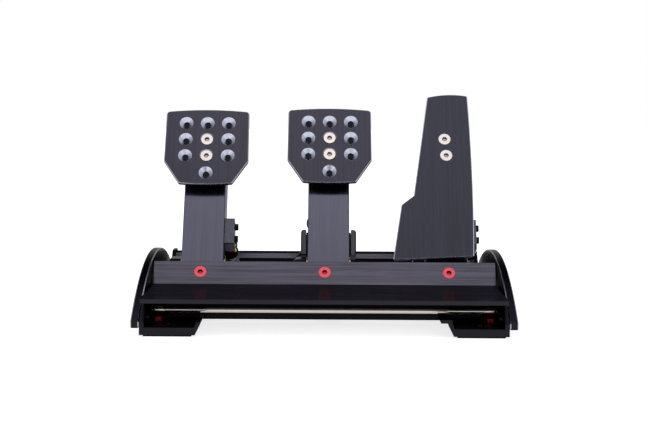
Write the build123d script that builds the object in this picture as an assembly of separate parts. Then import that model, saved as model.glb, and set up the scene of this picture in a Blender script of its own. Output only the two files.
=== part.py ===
from build123d import *
import math
import os

os.makedirs("parts", exist_ok=True)

# Sim racing pedal set: clutch, brake and throttle pedals on a low base with two arched side plates.
# All lengths are in millimetres. X runs to the driver's right, Y away from the driver, Z up.
# While the parts are built, Y starts at the front noses of the side plates, and Z a little above
# the soles of the feet. The export moves the origin to the bottom centre, on the floor.

# Fits
running_clearance = 0.05
screw_clearance = 0.1
side_clearance = 0.3
link_clearance = 0.5
press_clearance = 0.02
overrun = 1.0

# Side plates
base_depth = 342.0
inside_width = 348.0
side_thickness = 8.0
side_bottom = 7.0
side_nose_height = 6.5
side_rise = 49.0
side_nose_round = 2.0
side_bevel = 0.9

# Heel plate, a shelf with a front plate that leans back
heel_end_gap = 1.1
heel_thickness = 4.0
shelf_front = 0.8
shelf_depth = 107.8
shelf_top = 34.5
front_plate_height = 26.2
front_plate_lean = 35.0
heel_bend_radius = 2.0
front_screw_side_gap = 48.2
front_screw_rise = 1.2

# Cross members
tie_rod_diameter = 5.0
tie_rod_end_diameter = 8.0
tie_rod_end_length = 14.0
tie_rod_setback = 7.0
tie_rod_height = 16.0
beam_setback = 14.6
beam_depth = 24.0
beam_bottom = 5.2
beam_pocket_width = 6.0
beam_pocket_height = 16.0
beam_screw_height = 19.0
bar_size = 20.0
bar_gap = 0.5
bar_bottom = 27.8
slot_mouth = 8.0
slot_width = 11.0
slot_lip = 2.2
slot_depth = 5.6
bar_corner = 1.5
bar_bore = 4.2

# Brackets that carry the rear bar on the side plates
bracket_ahead = 7.0
bracket_depth = 30.0
bracket_bottom = 14.0
bracket_reach = 24.0
bracket_cap_gap = 1.7
bracket_cap_width = 6.3
bracket_cap_taper = 2.4
bracket_cap_rise = 2.2

# Feet
sole_thickness = 1.5
sole_drop = 1.1
foot_floor = 7.1
foot_wall = 4.5
foot_flange = 4.0
foot_width = 52.3
foot_slant = 5.7
foot_inner_height = 12.5
front_foot_start = 2.0
front_foot_gap = 4.0
front_flange_setback = 18.0
front_tab_reach = 6.4
front_tab_thickness = 3.2
rear_foot_gap = 5.0
rear_foot_depth = 38.0
rear_wall_height = 19.6
mount_hole_diameter = 8.6
mount_hole_inset = 25.5
front_mount_depth = 24.0
rear_mount_setback = 20.0
rubber_margin = 3.5
lock_nut_diameter = 12.0
lock_nut_height = 3.4
lock_nut_inset = 14.0
lock_nut_setback = 18.0
lock_stud_diameter = 6.0

# Fasteners
m6_head_diameter = 12.4
m6_head_height = 3.3
m6_shank_diameter = 6.0
m6_hex = 5.0
side_screw_length = 16.0
front_screw_length = 13.0
frame_screw_length = 22.0
cap_head_diameter = 10.0
cap_head_height = 6.0
socket_depth_share = 0.7

# Pedal places across the base, the outer two from the side plates
clutch_side_gap = 48.0
brake_x = 3.8
throttle_side_gap = 48.4
clutch_drop = 2.5

# Pedal arms, bent channels that lean back
arm_behind_shelf = 33.4
arm_above_shelf = 20.0
arm_lean = 30.0
arm_width = 43.0
arm_web = 5.0
arm_flange = 4.0
arm_depth = 33.0
arm_top = 150.0
arm_top_depth = 14.0
arm_taper_start = 108.0
arm_below_pivot = 12.0
arm_edge_round = 1.2
pivot_inset = 20.0
pivot_end_radius = 13.0

# Pivot axles and bushes
axle_diameter = 10.0
axle_head_diameter = 15.0
axle_head_height = 2.5
bush_radius = 7.0
bush_flange_radius = 12.0
bush_flange = 1.2

# Pedal frames
rail_bottom = 8.0
rail_height = 14.0
tower_radius = 12.0
upright_height = 22.0
upright_depth = 10.0
pedestal_inset = 2.0
pedestal_depth = 17.0

# Sensor housings beside each pivot
housing_width = 11.5
housing_depth = 21.0
housing_top = 55.5
housing_round = 2.5

# Pads
pad_plate = 5.0
pad_standoff = 10.0
pad_top_width = 87.8
pad_low_width = 88.6
pad_bottom_width = 55.5
pad_height = 89.3
pad_crown = 2.4
pad_bottom_bow = 1.3
pad_bevel = 0.8
pad_corner_shares = (0.371, -0.288, -0.576)
pad_top_round = 4.0
pad_low_round = 2.0
pad_row_above_foot = 135.2
clutch_pad_shift = 1.0
brake_pad_shift = 0.6
hole_pitch = 22.4
row_pitch = 19.25
last_row_drop = 39.3
sink_diameter = 14.4
bore_diameter = 6.4
spacer_diameter = 11.0
pad_screw_head = 12.6
pad_screw_head_height = 3.2
nut_across = 10.0
nut_height = 5.0
plug_stem = 0.8
plug_head = 1.0
plug_head_diameter = 9.0

# Throttle plate, longer, with a bowed right edge and a notch in its left edge
throttle_width = 82.4
throttle_height = 193.0
throttle_left = 54.3
throttle_below_foot = 4.6
throttle_screw_turn = 3.8
throttle_screw_shift = 0.8
throttle_screw_drop = 0.7
throttle_round = 2.0
throttle_left_shares = ((0.45, 0.982), (0.252, 0.378), (0.095, 0.323), (-0.02, 0.0), (0.982, 0.023))
throttle_right_bow_shares = (1.0, 0.5)
throttle_top_right_shares = (0.973, 0.992)
throttle_peak_shares = (0.777, 1.0)

# Spring links of the clutch and the throttle
block_thickness = 10.4
block_below_pin = 8.0
block_height = 29.0
block_front = 4.0
block_rear_gap = 3.2
block_screw_margin = 6.0
block_screw_spacing = 13.5
block_screw_head = 7.0
block_screw_head_height = 3.4
block_screw_shank = 4.0
block_screw_length = 12.0
link_pin_up = 29.0
link_pin_inset = 27.2
link_pin_diameter = 6.0
link_run = 60.0
link_fall = 42.0
rear_pin_diameter = 7.0
rear_boss_radius = 9.0
eye_radius = 6.0
eye_thickness = 4.4
lug_radius = 6.2
link_rod_diameter = 8.0
link_rod_end_gap = 10.2
link_tube_diameter = 11.0
link_tube_wall_gap = 0.1
link_tube_length = 33.0
link_tube_bore_end = 10.0
tube_eye_radius = 7.5
tube_eye_thickness = 8.0
seat_diameter = 16.4
seat_thickness = 3.0
seat_from_pin = 9.5
adjuster_diameter = 15.4
adjuster_start = 11.0
adjuster_thickness = 5.0
adjuster_grips = 12
adjuster_grip_diameter = 1.8
brass_washer_radius = 6.5
brass_washer_thickness = 1.0

# Coil springs of the links
spring_diameter = 13.8
clutch_wire = 2.0
throttle_wire = 1.8
clutch_curls = 9
throttle_curls = 11
closed_curl_gap = 0.5

# Brake link, stack and load cell
brake_pin_up = 30.6
brake_pin_inset = 12.4
brake_pin_diameter = 8.0
pin_washer_diameter = 13.0
brake_axis_drop = 20.0
ear_thickness = 5.5
ear_gap = 1.8
ear_front = 7.0
ear_top = 8.0
ear_bottom_front = 18.0
ear_bottom_rear = 12.0
ear_round = 3.0
bridge_start = 36.0
bridge_depth = 8.0
piston_diameter = 10.0
piston_reach = 10.7
knob_gap = 1.0
knob_thickness = 8.0
knob_diameter = 34.0
knob_grips = 18
knob_grip_diameter = 3.0
ring_count = 3
ring_thickness = 6.5
ring_diameter = 28.0
ring_bulge = 1.2
washer_diameter = 31.0
washer_thickness = 1.5
thrust_diameter = 26.0
thrust_length = 22.5
cell_depth = 12.7
cell_width = 25.4
cell_height = 44.0
cell_hole_diameter = 8.0
cell_hole_spacing = 12.0

# Vibration motor in the brake arm
motor_width = 28.0
motor_height = 32.0
motor_depth = 17.0
motor_low = 77.0
motor_round = 3.0

# Control box behind the rear bar
box_brake_gap = 13.8
box_width = 80.0
box_bottom = 16.9
box_height = 26.0
box_depth = 42.0
box_wall = 2.0
box_round = 2.5
lid_thickness = 2.0
board_thickness = 1.6
board_height = 8.0
post_diameter = 5.0
wide_socket_width = 14.0
socket_width = 13.0
socket_height = 11.0
socket_depth = 15.0
socket_wall = 1.5
socket_centre_shares = (0.21, 0.39, 0.57, 0.75)
box_screw_diameter = 3.0
box_screw_head = 5.5
box_screw_inset = 4.5
gland_diameter = 9.0
gland_height = 3.0

# Leads
lead_diameter = 3.2


def save(name, *solids):
    """Write the solids of one sub-part, moved so that the origin is at the bottom centre."""
    moved = [Pos(0, -base_depth / 2, sole_drop) * solid for solid in solids]
    shape = moved[0] if len(moved) == 1 else Compound(children=moved)
    export_step(shape, f"parts/{name}.step")


def block(x_range, y_range, z_range):
    """A box from its lowest and highest X, Y and Z."""
    size = [high - low for low, high in (x_range, y_range, z_range)]
    corner = Pos(x_range[0], y_range[0], z_range[0])
    return corner * Box(*size, align=(Align.MIN, Align.MIN, Align.MIN))


def prism(plane, points, thickness):
    """A plate from an outline of straight lines in the plane."""
    return extrude(plane * make_face(Polyline(*points, close=True)), thickness)


def side_prism(points, x_low, x_high):
    """A plate in the Y, Z plane between two places across the base."""
    return prism(Plane.YZ.offset(x_low), points, x_high - x_low)


def cross_pin(x_low, x_high, y, z, diameter):
    """A round pin along X."""
    plane = Plane.YZ.offset(x_low)
    pin = Cylinder(diameter / 2, x_high - x_low, align=(Align.CENTER, Align.CENTER, Align.MIN))
    return plane * Pos(y, z, 0) * pin


def upright_pin(plane, diameter, low, high):
    """A round pin along the plane's normal."""
    pin = Cylinder(diameter / 2, high - low, align=(Align.CENTER, Align.CENTER, Align.MIN))
    return plane * Pos(0, 0, low) * pin


def hex_socket(plane, across, depth):
    """The cutter of a hexagon socket, sunk below the plane."""
    face = plane * RegularPolygon(across / math.sqrt(3), 6)
    return extrude(face, -depth)


def sunk_screw(plane, head, head_height, shank, length, across):
    """A countersunk screw whose head is flush with the plane and points along its normal."""
    cone = plane * Pos(0, 0, -head_height) * Cone(
        shank / 2, head / 2, head_height, align=(Align.CENTER, Align.CENTER, Align.MIN)
    )
    screw = cone + upright_pin(plane, shank, -length, -head_height)
    return screw - hex_socket(plane, across, head_height * socket_depth_share)


def sunk_hole(plane, head, head_height, shank, length):
    """The cutter of a countersunk hole that such a screw fits."""
    cone = plane * Pos(0, 0, -head_height) * Cone(
        shank / 2 + screw_clearance,
        head / 2 + screw_clearance,
        head_height,
        align=(Align.CENTER, Align.CENTER, Align.MIN),
    )
    return cone + upright_pin(plane, shank + 2 * screw_clearance, -length, -head_height)


def cap_screw(plane, head, head_height, shank, length, across):
    """A cap screw that seats on the plane, with its head along the normal."""
    screw = upright_pin(plane, head, 0, head_height) + upright_pin(plane, shank, -length, 0)
    return screw - hex_socket(plane.offset(head_height), across, head_height * socket_depth_share)


def mirrored_pair(solid):
    """A solid and its mirror image on the other side of the base."""
    return [solid, mirror(solid, about=Plane.YZ)]


# Places that several pieces share
side_half = inside_width / 2
side_outer = side_half + side_thickness
side_middle = base_depth / 2
nose_top = side_bottom + side_nose_height
clutch_x = clutch_side_gap - side_half
throttle_x = side_half - throttle_side_gap
heel_half_length = side_half - heel_end_gap
shelf_under = shelf_top - heel_thickness
heel_corner = shelf_front + shelf_depth
beam_rear = heel_corner - beam_setback
beam_front = beam_rear - beam_depth
foot_inner_bottom = side_half - foot_width
foot_inner_top = foot_inner_bottom - foot_slant
front_foot_end = beam_front - front_foot_gap
front_foot_depth = front_foot_end - front_foot_start
front_flange_depth = front_foot_depth - front_flange_setback
tie_rod_front = front_foot_end - tie_rod_setback
mount_hole_across = side_half - mount_hole_inset
lock_nut_across = side_half - lock_nut_inset
lock_nut_depth = front_foot_end - lock_nut_setback
lean_sin = math.sin(math.radians(front_plate_lean))
lean_cos = math.cos(math.radians(front_plate_lean))
front_plate_rear = (heel_corner + heel_thickness * lean_cos, shelf_top - heel_thickness * lean_sin)
arm_sin = math.sin(math.radians(arm_lean))
arm_cos = math.cos(math.radians(arm_lean))
arm_foot_depth = heel_corner + arm_behind_shelf
arm_foot_height = shelf_top + arm_above_shelf
pivot_depth = arm_foot_depth + pivot_inset * arm_cos
pivot_height = arm_foot_height - pivot_inset * arm_sin
arm_half = arm_width / 2
arm_inner = arm_half - arm_flange
frame_half = arm_inner - side_clearance
rail_top = rail_bottom + rail_height
foot_bottom = sole_thickness - sole_drop
foot_top = foot_bottom + foot_floor
pad_front = pad_standoff + pad_plate
link_x = arm_half + block_thickness / 2
link_length = math.hypot(link_run, link_fall)
link_rod_length = link_length - link_tube_bore_end - link_rod_end_gap
block_low = link_pin_up - block_below_pin
block_rear = link_pin_inset - block_rear_gap
block_screw_high = block_low + block_height - block_screw_margin
block_screw_rows = (block_screw_high - block_screw_spacing, block_screw_high)


def shifted(plane, across, up, out=0, turn=0):
    """A plane moved in its own directions and then turned about its normal."""
    return Plane(plane.location * Pos(across, up, out) * Rot(0, 0, turn))


def arm_face(x):
    """The plane of an arm's front face, with its local Y up along the arm."""
    return Plane(
        origin=(x, arm_foot_depth, arm_foot_height),
        x_dir=(1, 0, 0),
        z_dir=(0, -arm_cos, arm_sin),
    )


def arm_side(x):
    """The side plane of an arm: local X up along the arm, local Y out of its front face."""
    return Plane(
        origin=(x, arm_foot_depth, arm_foot_height),
        x_dir=(0, arm_sin, arm_cos),
        z_dir=(1, 0, 0),
    )


def arm_point(up, inset):
    """The depth and height of a place given along the arm and behind its front face."""
    depth = arm_foot_depth + up * arm_sin + inset * arm_cos
    height = arm_foot_height + up * arm_cos - inset * arm_sin
    return depth, height


# Places along the links and behind them, from the pins in the arms to the rear bar
link_pin_depth, link_pin_height = arm_point(link_pin_up, link_pin_inset)
rear_pin_depth = link_pin_depth + link_run
rear_pin_height = link_pin_height - link_fall
brake_pin_depth, brake_pin_height = arm_point(brake_pin_up, brake_pin_inset)
knob_start = bridge_start + bridge_depth + knob_gap
stack_start = knob_start + knob_thickness + side_clearance
stack_end = stack_start + ring_count * (ring_thickness + washer_thickness)
piston_end = stack_end + piston_reach
brake_drop = math.radians(brake_axis_drop)
cell_front = brake_pin_depth + (stack_end + thrust_length) * math.cos(brake_drop)
bar_front = cell_front + cell_depth + bar_gap
bar_rear = bar_front + bar_size
bar_middle = bar_front + bar_size / 2
bar_centre_height = bar_bottom + bar_size / 2
bar_half_length = side_half - bracket_cap_gap - bracket_cap_width
bracket_front = bar_front - bracket_ahead
pedestal_front = bar_front + pedestal_inset
rail_end = bar_rear
rear_foot_start = bar_rear + rear_foot_gap
rear_mount_depth = rear_foot_start + rear_mount_setback
box_left = brake_x - box_brake_gap - box_width


# Side plates
def side_outline():
    """The bow-shaped outline of a side plate."""
    bottom = Line((0, side_bottom), (base_depth, side_bottom))
    rear = Line((base_depth, side_bottom), (base_depth, nose_top))
    arch = ThreePointArc((base_depth, nose_top), (side_middle, nose_top + side_rise), (0, nose_top))
    front = Line((0, nose_top), (0, side_bottom))
    return make_face(Wire([bottom, rear, arch, front]))


beam_screw_inset = (beam_depth - beam_pocket_width) / 4
side_screw_places = (
    (front_foot_start + front_mount_depth * 3 / 4, foot_top + foot_floor),
    (front_flange_depth - foot_wall, foot_top + foot_floor + foot_wall / 2),
    (tie_rod_front, tie_rod_height),
    (beam_front + beam_screw_inset, beam_screw_height),
    (beam_rear - beam_screw_inset, beam_screw_height),
    (bracket_front + bracket_depth / 4, bracket_bottom + bracket_depth / 4),
    (bracket_front + bracket_depth * 3 / 4, bracket_bottom + bracket_depth / 4),
    (rear_foot_start + rear_foot_depth / 4, rear_wall_height * 3 / 4),
    (rear_foot_start + rear_foot_depth * 5 / 8, rear_wall_height * 3 / 4),
)


def side_screw_plane(place):
    """The plane of a screw head in the outer face of the right side plate."""
    depth, height = place
    return Plane(origin=(side_outer, depth, height), x_dir=(0, 1, 0), z_dir=(1, 0, 0))


def side_screw_holes():
    """The cutters of the screw holes on the right side, past the plate and into what it holds."""
    length = side_screw_length + overrun
    cutters = []
    for place in side_screw_places:
        plane = side_screw_plane(place)
        cutters.append(sunk_hole(plane, m6_head_diameter, m6_head_height, m6_shank_diameter, length))
    return cutters


def right_side_plate():
    """The right arched plate with a bright bevel round its arch and countersunk holes."""
    plate = extrude(Plane.YZ.offset(side_half) * side_outline(), side_thickness)
    noses = [edge for edge in plate.edges().filter_by(Axis.X)]
    plate = fillet(noses, side_nose_round)
    rims = plate.faces().filter_by(Axis.X).edges()
    plate = chamfer(rims, side_bevel)
    for cutter in side_screw_holes():
        plate -= cutter
    return plate


def side_plates():
    """The two arched side plates."""
    right, left = mirrored_pair(right_side_plate())
    save("right_side_plate", right)
    save("left_side_plate", left)


def base_screws():
    """The black screws of the base: those in the side plates, and those under the rear bar."""
    screws = [frame_screw(x) for x in (clutch_x, brake_x, throttle_x)]
    for place in side_screw_places:
        screw = sunk_screw(
            side_screw_plane(place),
            m6_head_diameter,
            m6_head_height,
            m6_shank_diameter,
            side_screw_length,
            m6_hex,
        )
        screws += mirrored_pair(screw)
    save("base_screws", *screws)


# Heel plate
def front_screw_plane(x):
    """The plane of a red screw head, a little above the middle of the front plate's height."""
    reach = front_plate_height / 2 + front_screw_rise
    return Plane(
        origin=(x, heel_corner + reach * lean_sin, shelf_top + reach * lean_cos),
        x_dir=(1, 0, 0),
        z_dir=(0, -lean_cos, lean_sin),
    )


front_screw_reach = side_half - front_screw_side_gap
front_screw_xs = (-front_screw_reach, 0, front_screw_reach)


def heel_plate():
    """The shelf and the leaning front plate in one bent piece."""
    top_front = (heel_corner + front_plate_height * lean_sin, shelf_top + front_plate_height * lean_cos)
    top_rear = (top_front[0] + heel_thickness * lean_cos, top_front[1] - heel_thickness * lean_sin)
    rise = (front_plate_rear[1] - shelf_under) / lean_cos
    under_corner = (front_plate_rear[0] - rise * lean_sin, shelf_under)
    outline = [
        (shelf_front, shelf_top),
        (heel_corner, shelf_top),
        top_front,
        top_rear,
        under_corner,
        (shelf_front, shelf_under),
    ]
    plate = side_prism(outline, -heel_half_length, heel_half_length)
    bends = []
    for edge in plate.edges().filter_by(Axis.X):
        near = abs(edge.center().Y - heel_corner) < heel_thickness
        if near and edge.center().Z < shelf_top + heel_thickness / 2:
            bends.append(edge)
    plate = fillet(bends, heel_bend_radius)
    for x in front_screw_xs:
        plane = front_screw_plane(x)
        plate -= sunk_hole(
            plane, m6_head_diameter, m6_head_height, m6_shank_diameter, heel_thickness + overrun
        )
    return plate


def heel():
    """The heel plate and the red screws through it."""
    save("heel_plate", heel_plate())
    screws = []
    for x in front_screw_xs:
        screws.append(
            sunk_screw(
                front_screw_plane(x),
                m6_head_diameter,
                m6_head_height,
                m6_shank_diameter,
                front_screw_length,
                m6_hex,
            )
        )
    save("front_plate_screws", *screws)


# Cross members
def front_tie_rod():
    """The polished rod between the front feet, threaded at both ends for the side screws."""
    half = side_half - foot_wall
    rod = cross_pin(-half, half, tie_rod_front, tie_rod_height, tie_rod_diameter)
    neck = half - tie_rod_end_length
    for near, far in ((-half, -neck), (neck, half)):
        rod += cross_pin(near, far, tie_rod_front, tie_rod_height, tie_rod_end_diameter)
    for cutter in mirrored_pair(side_screw_holes()[2]):
        rod -= cutter
    return rod


def front_beam():
    """The dark cross beam under the shelf, a hollow extrusion with a thread port at each side."""
    beam = block(
        (-side_half, side_half), (beam_front, beam_rear), (beam_bottom, shelf_under)
    )
    middle = beam_front + beam_depth / 2
    centre = (beam_bottom + shelf_under) / 2
    beam -= block(
        (-side_half, side_half),
        (middle - beam_pocket_width / 2, middle + beam_pocket_width / 2),
        (centre - beam_pocket_height / 2, centre + beam_pocket_height / 2),
    )
    for index in (3, 4):
        for cutter in mirrored_pair(side_screw_holes()[index]):
            beam -= cutter
    return beam


def rear_cross_bar():
    """The slotted bar that the pedal frames stand under, with a T slot in each of its four sides."""
    half = bar_size / 2
    section = Rectangle(bar_size, bar_size)
    section = fillet(section.vertices(), bar_corner)
    mouth = Pos(half - slot_lip / 2, 0) * Rectangle(slot_lip, slot_mouth)
    inner_depth = slot_depth - slot_lip
    inner = Pos(half - slot_lip - inner_depth / 2, 0) * Trapezoid(slot_width, inner_depth, 45, rotation=90)
    for quarter in range(4):
        section -= Rot(0, 0, quarter * 90) * (mouth + inner)
    section -= Circle(bar_bore / 2)
    plane = Plane.YZ.offset(-bar_half_length) * Pos(bar_middle, bar_centre_height, 0)
    bar = extrude(plane * section, 2 * bar_half_length)
    for x in (clutch_x, brake_x, throttle_x):
        plane = Plane.XY.offset(bar_bottom)
        bar -= upright_pin(
            Plane(origin=(x, bar_middle, 0)),
            m6_shank_diameter + 2 * screw_clearance,
            bar_bottom - overrun,
            bar_centre_height,
        )
    return bar


def right_bracket():
    """The block that carries the rear bar on the right side plate, with an upright cap at its end."""
    top = bar_bottom
    base = block(
        (side_half - bracket_reach, side_half),
        (bracket_front, bracket_front + bracket_depth),
        (bracket_bottom, top),
    )
    cap_outer = side_half - bracket_cap_gap
    cap_top = bar_bottom + bar_size + bracket_cap_rise
    cap = [
        (bar_half_length, top),
        (cap_outer, top),
        (cap_outer - bracket_cap_taper, cap_top),
        (bar_half_length, cap_top),
    ]
    plane = Plane.XZ.offset(-bar_rear)
    base += prism(plane, cap, bar_size)
    for index in (5, 6):
        base -= side_screw_holes()[index]
    return base


def cross_members():
    """What ties the two side plates together."""
    save("front_tie_rod", front_tie_rod())
    save("front_beam", front_beam())
    save("rear_cross_bar", rear_cross_bar())
    save("rear_bar_brackets", *mirrored_pair(right_bracket()))


# Feet
def foot_section(tab_reach):
    """The open section of a foot: floor and slanted inner wall, with a tab on it if asked for."""
    top = foot_bottom + foot_inner_height
    flange_foot = foot_inner_bottom + foot_flange - foot_slant * foot_floor / foot_inner_height
    points = [
        (side_half, foot_bottom),
        (side_half, foot_top),
        (flange_foot, foot_top),
        (foot_inner_top + foot_flange, top),
    ]
    if tab_reach:
        points.append((foot_inner_top + foot_flange, top + front_tab_thickness))
        points.append((foot_inner_top - tab_reach, top + front_tab_thickness))
        points.append((foot_inner_top - tab_reach, top))
    points.append((foot_inner_top, top))
    points.append((foot_inner_bottom, foot_bottom))
    return points


def mount_hole(depth):
    """The cutter of a floor hole for fixing the set to a rig."""
    plane = Plane(origin=(mount_hole_across, depth, 0))
    return upright_pin(plane, mount_hole_diameter, -sole_drop - overrun, foot_top + overrun)


def right_front_foot(tab_reach):
    """A front foot: outer wall against the side plate, floor, and slanted inner wall."""
    start = front_foot_start
    plane = Plane.XZ.offset(-(start + front_foot_depth))
    floor = [
        (side_half, foot_bottom),
        (side_half, foot_top),
        (foot_inner_bottom, foot_top),
        (foot_inner_bottom, foot_bottom),
    ]
    foot = prism(plane, floor, front_foot_depth)
    flange_plane = Plane.XZ.offset(-(start + front_flange_depth))
    foot += prism(flange_plane, foot_section(tab_reach), front_flange_depth)
    end = start + front_foot_depth
    wall = [
        (start, foot_bottom),
        (start, nose_top - foot_wall / 3),
        (front_mount_depth, shelf_under - foot_wall),
        (front_mount_depth + foot_floor, shelf_under),
        (end, shelf_under),
        (end, foot_bottom),
    ]
    foot += side_prism(wall, side_half - foot_wall, side_half)
    for index in (0, 1, 2):
        foot -= side_screw_holes()[index]
    foot -= mount_hole(front_mount_depth)
    stud_plane = Plane(origin=(lock_nut_across, lock_nut_depth, 0))
    foot -= upright_pin(stud_plane, lock_stud_diameter + 2 * screw_clearance, 0, foot_top + overrun)
    return foot


def right_rear_foot():
    """A rear foot, shorter and lower, under the tail of the side plate."""
    start = rear_foot_start
    end = start + rear_foot_depth
    plane = Plane.XZ.offset(-end)
    foot = prism(plane, foot_section(0), rear_foot_depth)
    wall = [
        (start, foot_bottom),
        (start, foot_bottom + rear_wall_height),
        (start + rear_foot_depth * 2 / 3, foot_bottom + rear_wall_height),
        (end, nose_top - foot_wall / 3),
        (end, foot_bottom),
    ]
    foot += side_prism(wall, side_half - foot_wall, side_half)
    for index in (7, 8):
        foot -= side_screw_holes()[index]
    foot -= mount_hole(rear_mount_depth)
    return foot


def rubber_pad(start, depth, hole_depth):
    """A rubber pad under a foot, with the mounting hole through it."""
    pad = block(
        (foot_inner_bottom + rubber_margin, side_half - rubber_margin),
        (start + rubber_margin / 2, start + depth - rubber_margin / 2),
        (-sole_drop, foot_bottom),
    )
    return pad - mount_hole(hole_depth)


def lock_nut():
    """A red nut with a short stud, flush with it, which holds the front foot's rubber."""
    plane = Plane(origin=(lock_nut_across, lock_nut_depth, foot_top))
    stud = upright_pin(plane, lock_stud_diameter, -foot_floor, lock_nut_height)
    nut = extrude(plane * RegularPolygon(lock_nut_diameter / 2, 6), lock_nut_height)
    return stud + nut


def feet():
    """Four feet with rubber pads and the red nuts in the front ones."""
    left = mirror(right_front_foot(0), about=Plane.YZ)
    save("front_feet", right_front_foot(front_tab_reach), left)
    save("rear_feet", *mirrored_pair(right_rear_foot()))
    pads = mirrored_pair(rubber_pad(front_foot_start, front_foot_depth, front_mount_depth))
    pads += mirrored_pair(rubber_pad(rear_foot_start, rear_foot_depth, rear_mount_depth))
    save("foot_pads", *pads)
    save("foot_nuts", *mirrored_pair(lock_nut()))


# Pedal frames
def pedal_frame(x, screw_x, boss):
    """The frame of one pedal: rail, leaning upright, pivot tower, and a pedestal for the rear bar."""
    low, high = x - frame_half, x + frame_half
    frame = block((low, high), (beam_rear, rail_end), (rail_bottom, rail_top))
    rise = (front_plate_rear[1] - shelf_under) / lean_cos
    corner = (front_plate_rear[0] - rise * lean_sin, shelf_under)
    tip = (
        front_plate_rear[0] + upright_height * lean_sin,
        front_plate_rear[1] + upright_height * lean_cos,
    )
    tip_rear = (tip[0] + upright_depth * lean_cos, tip[1] - upright_depth * lean_sin)
    drop = tip_rear[1] - rail_top
    foot_rear = tip_rear[0] - drop * lean_sin / lean_cos
    upright = [
        (beam_rear, rail_top),
        (beam_rear, shelf_under),
        corner,
        tip,
        tip_rear,
        (foot_rear, rail_top),
    ]
    frame += side_prism(upright, low, high)
    frame += block(
        (low, high),
        (pivot_depth - tower_radius, pivot_depth + tower_radius),
        (rail_top, pivot_height),
    )
    frame += cross_pin(low, high, pivot_depth, pivot_height, 2 * tower_radius)
    frame += block(
        (low, high), (pedestal_front, pedestal_front + pedestal_depth), (rail_top, bar_bottom)
    )
    if boss:
        frame += block(
            (low, high),
            (rear_pin_depth - rear_boss_radius, rear_pin_depth + rear_boss_radius),
            (rail_top, rear_pin_height),
        )
        frame += cross_pin(low, high, rear_pin_depth, rear_pin_height, 2 * rear_boss_radius)
        spacer_end = x + link_x - tube_eye_thickness / 2 - side_clearance
        frame += cross_pin(
            high, spacer_end, rear_pin_depth, rear_pin_height, 2 * (rear_boss_radius - tower_radius / 4)
        )
        pin_hole = rear_pin_diameter + 2 * press_clearance
        frame -= cross_pin(low, spacer_end, rear_pin_depth, rear_pin_height, pin_hole)
    axle_hole = axle_diameter + 2 * press_clearance
    frame -= cross_pin(low, high, pivot_depth, pivot_height, axle_hole)
    frame -= upright_pin(
        front_screw_plane(screw_x),
        m6_shank_diameter + 2 * screw_clearance,
        -front_screw_length - overrun,
        0,
    )
    screw_plane = Plane(origin=(x, bar_middle, rail_bottom))
    frame -= upright_pin(screw_plane, m6_shank_diameter + 2 * screw_clearance, 0, rail_end)
    frame -= upright_pin(screw_plane, cap_head_diameter + 2 * screw_clearance, 0, cap_head_height)
    return frame


def frame_screw(x):
    """The cap screw that holds a frame to the rear bar from below."""
    plane = Plane(
        origin=(x, bar_middle, rail_bottom + cap_head_height), x_dir=(1, 0, 0), z_dir=(0, 0, -1)
    )
    return cap_screw(
        plane, cap_head_diameter, cap_head_height, m6_shank_diameter, frame_screw_length, m6_hex
    )


def pivot_axle(x):
    """The pivot axle of one arm, with its head on the right."""
    left = x - arm_half - bush_flange - side_clearance
    right = x + arm_half + bush_flange + side_clearance
    axle = cross_pin(left, right, pivot_depth, pivot_height, axle_diameter)
    return axle + cross_pin(
        right, right + axle_head_height, pivot_depth, pivot_height, axle_head_diameter
    )


def rear_pin(x):
    """The pin of a link tube at the rear, with a flat head on the right."""
    outer = x + link_x + tube_eye_thickness / 2 + side_clearance
    pin = cross_pin(x - frame_half, outer, rear_pin_depth, rear_pin_height, rear_pin_diameter)
    head = rear_pin_diameter * 3 / 2
    far = outer + axle_head_height
    return pin + cross_pin(outer, far, rear_pin_depth, rear_pin_height, head)


def sensor_housing(x):
    """The housing of the angle sensor, beside the left end of the pivot axle."""
    inner = x - arm_half - bush_flange - side_clearance
    outer = inner - housing_width
    front = pivot_depth - housing_depth / 2
    rear = pivot_depth + housing_depth / 2
    housing = block((outer, inner), (front, rear), (rail_bottom, housing_top))
    ridges = [edge for edge in housing.edges() if edge.center().X < outer + running_clearance]
    housing = fillet(ridges, housing_round)
    return housing + block((inner, x - frame_half), (front, rear), (rail_bottom, rail_top))


def frames():
    """The three pedal frames with their axles, pins and sensors."""
    save("clutch_frame", pedal_frame(clutch_x, front_screw_xs[0], True))
    save("brake_frame", pedal_frame(brake_x, front_screw_xs[1], False))
    save("throttle_frame", pedal_frame(throttle_x, front_screw_xs[2], True))
    axles = [pivot_axle(x) for x in (clutch_x, brake_x, throttle_x)]
    axles += [rear_pin(x) for x in (clutch_x, throttle_x)]
    save("pivot_axles", *axles)
    save("sensor_housings", *[sensor_housing(x) for x in (clutch_x, brake_x, throttle_x)])


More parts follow.
